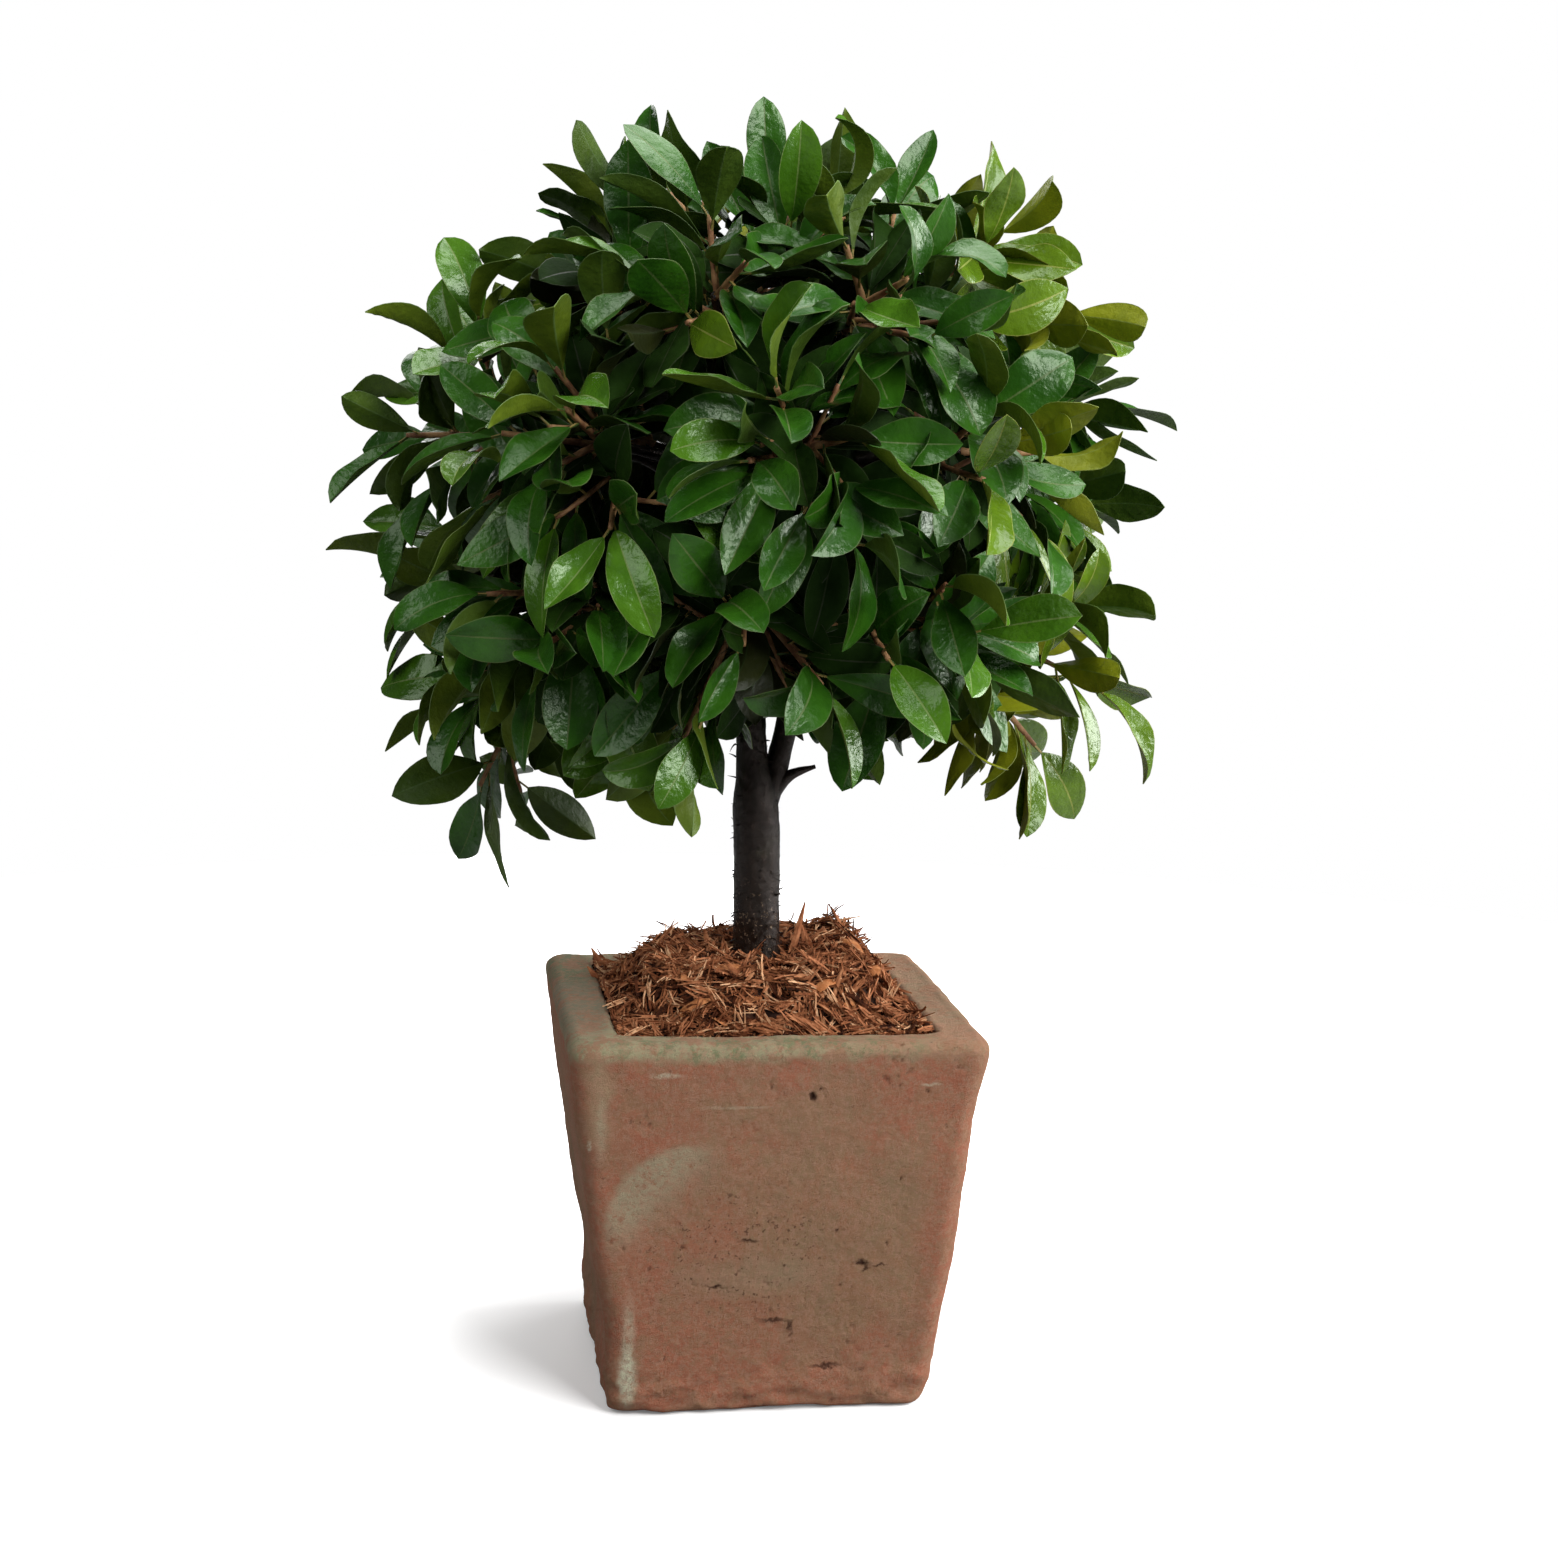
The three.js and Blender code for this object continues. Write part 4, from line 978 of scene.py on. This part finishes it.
def share_out_sprays(masses):
    """Spreads the sprays over the head as the part does, and gives each to the mass it lies in."""
    draw = seeded_stream(SPRAYS.seed)
    outlying = [(direction_to(azimuth, elevation), reach) for azimuth, elevation, reach in OUTLYING]
    apart = math.cos(math.radians(SPRAYS.apart))
    lowest = math.sin(math.radians(SPRAYS.lowest))
    for i in range(SPRAYS.count):
        up = 1 - (i + 0.5) / SPRAYS.count * (1 - lowest)
        turn = i * GOLDEN_ANGLE + SPRAYS.jitter * (draw() - 0.5)
        share = draw(SPRAYS.shortest, 1)
        direction = direction_to(math.degrees(turn), math.degrees(math.asin(up)))
        if any(direction @ other > apart for other, _ in outlying):
            continue
        mass = mass_nearest(direction, masses)
        reach = mass.reach * share * (1 - SPRAYS.underside * smoothstep(-up, 0.5, 1))
        direction = unit(mix(direction, mass.direction, SPRAYS.gather))
        mass.sprays.append(Values(direction=direction, reach=reach))
    for direction, reach in outlying:
        mass_nearest(direction, masses).sprays.append(Values(direction=direction, reach=reach))


def set_out_twigs(mass, draw):
    """The twig of each spray of a mass: where it leaves the stem, its tip and its first rank."""
    start = mass.tip + mass.direction * 0.3
    end = CROWN + mass.direction * STEM.end
    in_line = math.cos(math.radians(TWIG.in_line))
    for spray in mass.sprays:
        share = TWIG.end if spray.direction @ mass.direction > in_line else draw(TWIG.first, TWIG.last)
        spray.root = mix(start, end, share)
        spray.tip = CROWN + spray.direction * (spray.reach - LEAF.overhang)
        spray.start = 2 * math.pi * draw()


def leaf_at(spray, from_tip, opening, around, roll, length):
    """One leaf: its root, the way it points, the way its upper face faces, and its length."""
    along = unit(spray.tip - spray.root)
    outwards = turned(unit(np.cross((0, 0, 1), along)), along, around)
    axis = unit(along * math.cos(opening) + outwards * math.sin(opening) - (0, 0, LEAF.hang))
    faced = along + (0, 0, 0 if spray.tone == "olive" else LEAF.upturn)
    normal = turned(unit(faced - axis * (faced @ axis)), axis, roll)
    return Values(root=spray.tip - along * from_tip, axis=axis, normal=normal, length=length)


def leaf_outline(leaf):
    """The two flat faces and five straight edges that stand for a leaf in the tests."""
    along = leaf.axis * leaf.length
    side = np.cross(leaf.normal, leaf.axis) * LEAF_TEST.half * leaf.length
    root = leaf.root + along * LEAF_TEST.root
    tip = leaf.root + along
    middle = leaf.root + along * LEAF_TEST.widest + leaf.normal * LEAF_TEST.arch * leaf.length
    left = middle + side
    right = middle - side
    faces = np.array([[root, left, tip], [tip, right, root]])
    edges = np.array([[root, left], [left, tip], [root, right], [right, tip], [root, tip]])
    return faces, edges


def any_cross(edges, faces):
    """Whether any of the straight edges passes through any of the faces."""
    start = edges[:, None, 0]
    way = edges[:, None, 1] - start
    corner = faces[None, :, 0]
    first = faces[None, :, 1] - corner
    second = faces[None, :, 2] - corner
    normal = np.cross(way, second)
    scale = (first * normal).sum(-1)
    scale = np.where(np.abs(scale) < 1e-9, 1e-9, scale)
    out = start - corner
    turn = np.cross(out, first)
    u = (out * normal).sum(-1) / scale
    v = (way * turn).sum(-1) / scale
    t = (second * turn).sum(-1) / scale
    return bool(np.any((u >= 0) & (v >= 0) & (u + v <= 1) & (t >= 0) & (t <= 1)))


def hides_fork(points):
    """Whether any of the points hangs in front of the fork, which the foliage leaves in view."""
    eye = np.array(viewer_turn() @ Vector(CAMERA.place))
    ahead = unit(-eye * (1, 1, 0))
    share = (points - eye) @ ahead / (-eye @ ahead)
    seen = eye + (points - eye) / share[:, None]
    across = seen @ (ahead[1], -ahead[0], 0)
    low, high = FORK_VIEW.across
    return bool(np.any((share < 1) & (across > low) & (across < high) & (seen[:, 2] < FORK_VIEW.top)))


class Crown:
    """The leaves that have grown so far, and the limbs that they keep clear of."""

    def __init__(self, masses):
        self.leaves = []
        self.middles = np.zeros((0, 3))
        self.faces = np.zeros((0, 2, 3, 3))
        self.edges = np.zeros((0, 5, 2, 3))
        trunk, radii = trunk_at(np.linspace(TRUNK_FOOT, TRUNK_TIP, 90))
        boughs = np.concatenate([bough_path(mass, 24) for mass in masses[1:]])
        self.limb_points = np.concatenate([trunk, boughs])
        self.limb_radii = np.append(radii, np.full(len(boughs), BOUGH.root))

    def is_free(self, twigs, faces, edges):
        points = np.concatenate([edges.mean(axis=1)[:4], faces[:, 1], faces[:1, 2]])
        if hides_fork(points):
            return False
        away = np.linalg.norm(points[:, None] - self.limb_points, axis=-1)
        if np.any(away < self.limb_radii + LEAF.limb_clearance):
            return False
        if len(twigs) and any_cross(twigs, faces):
            return False
        near = np.linalg.norm(self.middles - faces[0, 1], axis=1) < 1.5 * LEAF.length
        if not near.any():
            return True
        other_faces = self.faces[near].reshape(-1, 3, 3)
        other_edges = self.edges[near].reshape(-1, 2, 3)
        return not any_cross(edges, other_faces) and not any_cross(other_edges, faces)

    def keep(self, leaf, faces, edges):
        self.leaves.append(leaf)
        self.middles = np.concatenate([self.middles, faces[:1, 1]])
        self.faces = np.concatenate([self.faces, faces[None]])
        self.edges = np.concatenate([self.edges, edges[None]])


def grow_leaves(crown, spray, twigs, draw, most, scale=1.0):
    """The leaves of a spray, from its tip inwards, in three loose ranks. One that isn't free is
    tried in the other ranks, and skipped if none has room."""
    grown = 0
    for i in range(most):
        length = LEAF.length * scale * draw(LEAF.smallest, LEAF.largest)
        degrees = LEAF.opening + LEAF.opening_step * i + LEAF.opening_spread * draw()
        roll = LEAF.roll * (draw() - 0.5)
        stray = LEAF.stray * (draw() - 0.5)
        from_tip = LEAF.first_root + i * LEAF.spacing * scale
        if np.linalg.norm(spray.tip - CROWN) - from_tip < LEAF.lowest_root:
            break
        for turn in range(6):
            around = spray.start + (i + turn) * RANK_ANGLE + stray
            opening = math.radians(degrees) + LEAF.wider_try * (turn // 3)
            leaf = leaf_at(spray, from_tip, opening, around, roll, length)
            faces, edges = leaf_outline(leaf)
            if crown.is_free(twigs, faces, edges):
                leaf.tone = leaf_tone(leaf, spray)
                crown.keep(leaf, faces, edges)
                grown += 1
                break
    return grown


def leaf_tone(leaf, spray):
    """A leaf's tone: its spray's, or a darker one deep in the head, where the darker colour is painted
    shade.
    """
    out = leaf.root - CROWN
    far = np.linalg.norm(out)
    depth = np.interp(out[2] / far, *HEAD_REACH) - far
    # Painted shade: the deeper a leaf's root lies in the head, the darker its tone, inner darkest.
    if depth > LEAF.inner_depth:
        return "inner"
    return "deep" if depth > LEAF.deep_depth else spray.tone


def tone_of(direction, draw):
    """The tone of a spray: young on the named ones, olive more often on the lit side as painted light, and
    deep more often away from it as painted shade.
    """
    for azimuth, elevation in YOUNG_SPRAYS:
        if direction @ direction_to(azimuth, elevation) > math.cos(math.radians(YOUNG_WITHIN)):
            return "young"
    # Painted light and shade: sprays towards the lit side are more often olive and less often deep.
    sunny = max(0, direction @ direction_to(LIT_SIDE, 0))
    olive = mix(*OLIVE_SHARES, sunny)
    value = draw()
    if value < olive:
        return "olive"
    return "deep" if value < mix(olive, 1, mix(*DEEP_SHARES, sunny)) else "green"


def side_twigs(spray, draw):
    """The finer twigs that leave a spray's twig."""
    along = unit(spray.tip - spray.root)
    level = unit(np.cross((0, 0, 1), along))
    limit = spray.reach - LEAF.overhang - SIDE_TWIG.short_by
    for i in range(SIDE_TWIG.count):
        back = draw(SIDE_TWIG.nearest, SIDE_TWIG.furthest)
        around = spray.start + i * math.pi + draw()
        turn = SIDE_TWIG.turn * draw(*SIDE_TWIG.turns)
        length = SIDE_TWIG.length * draw(*SIDE_TWIG.lengths)
        if back > np.linalg.norm(spray.tip - spray.root):
            continue
        root = spray.tip - along * back
        way = unit(along * math.cos(turn) + turned(level, along, around) * math.sin(turn))
        out = root + way * length - CROWN
        tip = CROWN + out * min(1, limit / np.linalg.norm(out))
        yield Values(root=root, tip=tip, start=2 * math.pi * draw(), tone=spray.tone)


def grow_head(masses):
    """Grows every spray's leaves, and then the finer twigs with theirs."""
    crown = Crown(masses)
    share_out_sprays(masses)
    tone_draw = seeded_stream(SEEDS.tones)
    sprays = []
    for mass in masses:
        draw = seeded_stream(mass.seed)
        set_out_twigs(mass, draw)
        for spray in mass.sprays:
            spray.tone = tone_of(spray.direction, tone_draw)
            sprays.append((spray, draw))
    lines = np.array([(spray.root, spray.tip) for spray, _ in sprays])

    def twigs_near(tip):
        return lines[np.linalg.norm(lines[:, 1] - tip, axis=1) < LEAF.near_tips]

    for spray, draw in sprays:
        near = twigs_near(spray.tip)
        others = near[np.any(near[:, 1] != spray.tip, axis=1)]
        grow_leaves(crown, spray, others, draw, LEAF.most)
    fine = []
    for spray, draw in sprays:
        for twig in side_twigs(spray, draw):
            near = twigs_near(twig.tip)
            if grow_leaves(crown, twig, near, draw, SIDE_TWIG.leaves, SIDE_TWIG.leaf_scale):
                fine.append((twig.root, twig.tip))
    return crown.leaves, lines, np.array(fine)


# The leaves themselves


def blade_outline(t, rise, fall):
    """The half width at a share of the blade's length, 1 where it is widest. Rise and fall are how
    pointed its base and tip are."""
    widest = rise / (rise + fall)
    peak = widest**rise * (1 - widest) ** fall
    return np.clip(t, 0, 1) ** rise * np.clip(1 - t, 0, 1) ** fall / peak


def leaf_faces():
    """The triangles of one leaf, between its upper and lower grids, and each one's material: 0 for
    the upper side, 1 for the underside, 2 for the rib and the margin and 3 for the stalk."""
    rows = PETIOLE_ROWS + BLADE.veins * ROWS_A_VEIN + 1
    columns = len(COLUMNS)
    under = rows * columns
    row, column = np.indices((rows - 1, columns - 1)).reshape(2, -1)
    corner = row * columns + column
    top = np.stack([corner, corner + columns, corner + columns + 1, corner + 1], axis=-1)
    bottom = top[:, [0, 3, 2, 1]] + under
    up = np.arange(rows - 1) * columns
    across = np.arange(columns - 1)
    margins = np.concatenate([
        np.stack([up, up + columns], axis=-1) + columns - 1,
        np.stack([up + columns, up], axis=-1),
        np.stack([across, across + 1], axis=-1),
        np.stack([across + 1, across], axis=-1) + (rows - 1) * columns,
    ])
    margins = np.column_stack([margins, margins[:, ::-1] + under])
    is_rib = np.isin(column, (0, columns // 2 - 1, columns - 2))
    sides = [np.where(row < PETIOLE_ROWS, 3, np.where(is_rib, 2, side)) for side in (0, 1)]
    materials = np.concatenate([*sides, np.full(len(margins), 2)])
    return triangles_of(np.concatenate([top, bottom, margins])), np.repeat(materials, 2)


def leaf_habits(leaves, rng):
    """How each of many leaves lies, bends, folds and waves, with room for its rows and columns."""

    def each(values):
        return np.asarray(values)[:, None, None]

    count = len(leaves)
    return Values(
        root=each([leaf.root for leaf in leaves]),
        axis=each([leaf.axis for leaf in leaves]),
        normal=each([leaf.normal for leaf in leaves]),
        length=BLADE.longer * each([leaf.length for leaf in leaves]),
        bend=each(rng.normal(BENDS.middle, BENDS.spread, count).clip(*BENDS.limits)) + 1e-3,
        twist=each(rng.normal(0, BENDS.twist, count)),
        **{name: each(rng.uniform(*limits, count)) for name, limits in VARIED.items()},
    )


def bent_ways(habits, s, shifted):
    """Each row's middle, way across and way up, on a leaf that bends and twists along its length."""
    bend = habits.bend
    curve = bend / habits.length
    heading = curve * s - bend / 2
    forward = (np.sin(heading) + np.sin(bend / 2)) / curve
    rise = (np.cos(heading) - np.cos(bend / 2)) / curve
    middle = habits.root + habits.axis * forward[..., None] + habits.normal * rise[..., None]
    upright = habits.normal * np.cos(heading)[..., None] + habits.axis * np.sin(heading)[..., None]
    across = np.cross(habits.normal, habits.axis)
    angle = (habits.twist * shifted)[..., None]
    sideways = across * np.cos(angle) + upright * np.sin(angle)
    return middle, sideways, upright * np.cos(angle) - across * np.sin(angle)


def leaf_points(leaves, rng):
    """The points of many leaves at once: bent along their length, folded on the midrib, with sunken
    veins and a wavy margin. Leaves by sides by rows by columns by 3, the upper side first."""
    habits = leaf_habits(leaves, rng)
    blade_rows = BLADE.veins * ROWS_A_VEIN
    row = np.arange(-PETIOLE_ROWS, blade_rows + 1)[:, None]
    t = np.clip(row, 0, None) / blade_rows
    spread = np.abs(COLUMNS)
    shifted = t + BLADE.slant * spread * t * (1 - t)
    start = BLADE.petiole * np.clip(1 + row / PETIOLE_ROWS, 0, 1)
    blade_share = 1 - BLADE.petiole
    outline = blade_outline(shifted, habits.rise, habits.fall)
    half = BLADE.width / 2 * blade_share * habits.length * habits.plump * outline
    half = half + BLADE.petiole_half * (1 - 0.85 * shifted)

    between = smoothstep(spread, 0.1, 0.4) * (1 - smoothstep(spread, 0.6, 0.9))
    sunk = np.where(row % ROWS_A_VEIN == 0, -1.0, 0.6) * (t > 0) * (t < 1)
    ripple = np.sin(2 * math.pi * (1.7 * shifted + habits.phase) + 1.3 * np.sign(COLUMNS))
    pucker = rng.normal(0, 1, half.shape).clip(-2, 2)
    lift = np.sin(habits.fold) * spread - habits.curl * spread**2 + habits.wave * ripple * spread**3
    lift = half * lift + (BLADE.vein_depth * sunk + BLADE.pucker * pucker * outline) * between

    middle, sideways, upwards = bent_ways(habits, habits.length * (start + blade_share * shifted), shifted)
    side = half * COLUMNS * np.cos(habits.fold)
    upper = middle + sideways * side[..., None] + upwards * lift[..., None]
    rib = BLADE.rib_height * (1 - 0.8 * shifted) * (spread < 0.1)
    thickness = np.where(row < 0, 1.0, mix(BLADE.thickness, BLADE.margin, spread) + rib)
    return np.stack([upper, upper - upwards * thickness[..., None]], axis=1)


def leaf_side(name, colours, roughness=0.5, specular=0.3, tint=(1, 1, 1, 1)):
    """A leaf's surface in two near tones, with a fine pebbled grain."""
    side = Finish(name, colours[0], roughness, specular, tint)
    side.lay(colours[1], side.speckle(26, 4, 0.55, 0.36, 0.64))
    return side.made(side.noise(3.4, 3, 0.5), 0.56)


def make_leaves(leaves, masses):
    """The leaves as pieces of one tone each, none with too many triangles."""
    faces, face_slots = leaf_faces()
    most = MOST_TRIANGLES // len(faces)
    nodes = ["foliage_" + mass.name for mass in masses]
    rng = np.random.default_rng(SEEDS.leaves)
    stalk = leaf_side("leaf_stalk", STALK_COLOURS)
    for tone, looks in TONES.items():
        materials = [
            leaf_side(f"leaf_{tone}_top", looks.top, looks.roughness, looks.gloss, GLOSS_TINT),
            leaf_side(f"leaf_{tone}_under", looks.under),
            leaf_side(f"leaf_{tone}_edge", looks.edge),
            stalk,
        ]
        own = [leaf for leaf in leaves if leaf.tone == tone]
        for part, start in enumerate(range(0, len(own), most)):
            some = own[start : start + most]
            points = leaf_points(some, rng).reshape(len(some), -1, 3)
            offsets = np.arange(len(some))[:, None, None] * points.shape[1]
            all_faces = (faces + offsets).reshape(-1, 3)
            slots = np.tile(face_slots, len(some))
            name = f"leaves_{tone}_{part + 1}"
            piece = add_piece(name, points.reshape(-1, 3), all_faces, materials, "leaf", slots, crease=52)
            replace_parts(piece, *nodes)


def twig_tubes(lines, sizes, rng):
    """Slightly bowed and knobbly twigs along straight lines."""
    rings = 12
    shares = np.linspace(0, 1, rings)
    way = lines[:, 1] - lines[:, 0]
    bow = rng.normal(0, 0.012, (len(lines), 3)) * np.linalg.norm(way, axis=1)[:, None]
    paths = lines[:, 0][:, None] + way[:, None] * shares[:, None]
    paths = paths + bow[:, None] * np.sin(math.pi * shares)[:, None]
    radii = mix(sizes.root, sizes.tip, shares) * rng.uniform(0.86, 1.16, (len(lines), rings))
    return tubes(paths, radii, radii, 7)


def make_twigs(lines, fine_lines):
    rng = np.random.default_rng(SEEDS.twigs)
    points, faces = joined([twig_tubes(lines, TWIG, rng), twig_tubes(fine_lines, SIDE_TWIG, rng)])
    wood = mottled("twig_wood", WOOD_COLOURS, 9, 0.65, 1.2, 0.3, specular=0.4)
    add_piece("twigs", points, faces, [wood], "bark")


# The studio


def viewer_turn():
    return Matrix.Rotation(-CAMERA.yaw, 4, "Z")


def add_camera():
    data = bpy.data.cameras.new("camera")
    data.sensor_width = SENSOR_WIDTH
    data.lens = SENSOR_WIDTH * CAMERA.focal / PHOTO_WIDTH
    data.clip_start = 0.05
    data.clip_end = 50
    camera = bpy.data.objects.new("camera", data)
    tilt = Matrix.Rotation(math.pi / 2 - CAMERA.pitch, 4, "X")
    roll = Matrix.Rotation(CAMERA.roll, 4, "Z")
    place = Matrix.Translation(Vector(CAMERA.place) * MM)
    camera.matrix_world = viewer_turn() @ place @ tilt @ roll
    bpy.context.scene.collection.objects.link(camera)
    bpy.context.scene.camera = camera


def add_light(name, place, aim, size, power):
    """A square soft light at a place in the viewer's frame, in metres, turned to an aim."""
    data = bpy.data.lights.new(name, "AREA")
    data.size = size
    data.energy = power
    light = bpy.data.objects.new(name, data)
    at = viewer_turn() @ Vector(place)
    way = viewer_turn() @ Vector(aim) - at
    light.matrix_world = Matrix.Translation(at) @ way.to_track_quat("-Z", "Y").to_matrix().to_4x4()
    bpy.context.scene.collection.objects.link(light)


def add_floor():
    """A pale round floor that fades to white at its edge, and throws little light back up."""
    mesh = bpy.data.meshes.new("floor")
    turns = 2 * math.pi * np.arange(FLOOR.sides) / FLOOR.sides
    rim = [(FLOOR.radius * math.cos(turn), FLOOR.radius * math.sin(turn), 0) for turn in turns]
    mesh.from_pydata(rim, [], [range(FLOOR.sides)])
    floor = bpy.data.objects.new("floor", mesh)
    floor.location.z = -FLOOR.below
    pale = Finish("floor", (0.25, 0.25, 0.25), 0.9, 0.0)
    seen = pale.node("LightPath", {}, "Is Camera Ray")
    pale.lay((0.95, 0.95, 0.95), seen)
    glow = pale.ramp(pale.vector_maths("LENGTH", pale.place, output="Value"), *FLOOR.fade, FLOOR.glow)
    pale.tree.links.new(pale.product(glow, seen), pale.shader.inputs["Emission Strength"])
    pale.tree.links.new(pale.colour, pale.shader.inputs["Base Color"])
    mesh.materials.append(pale.material)
    bpy.context.scene.collection.objects.link(floor)


def add_surround():
    """White where the camera sees it, and a weak even light elsewhere."""
    world = bpy.data.worlds.new("surround")
    world.use_nodes = True
    tree = world.node_tree
    background = tree.nodes["Background"]
    background.inputs["Color"].default_value = (1, 1, 1, 1)
    seen = add_node(tree, "LightPath", {}, "Is Camera Ray")
    strength = add_node(tree, "MapRange", {"Value": seen, "To Min": SURROUND_LIGHT})
    tree.links.new(strength, background.inputs["Strength"])
    bpy.context.scene.world = world


def add_studio():
    add_floor()
    add_surround()
    bpy.context.scene.view_settings.view_transform = "Standard"
    for light in LIGHTS:
        add_light(*light)


# Assembly

add_camera()
add_studio()
make_pot()
make_mulch()
dress_soil()
head = lay_out_masses()
bark = bark_material()
make_trunk(bark)
make_boughs(head, bark)
grown_leaves, twig_lines, fine_twig_lines = grow_head(head)
make_leaves(grown_leaves, head)
make_twigs(twig_lines, fine_twig_lines)
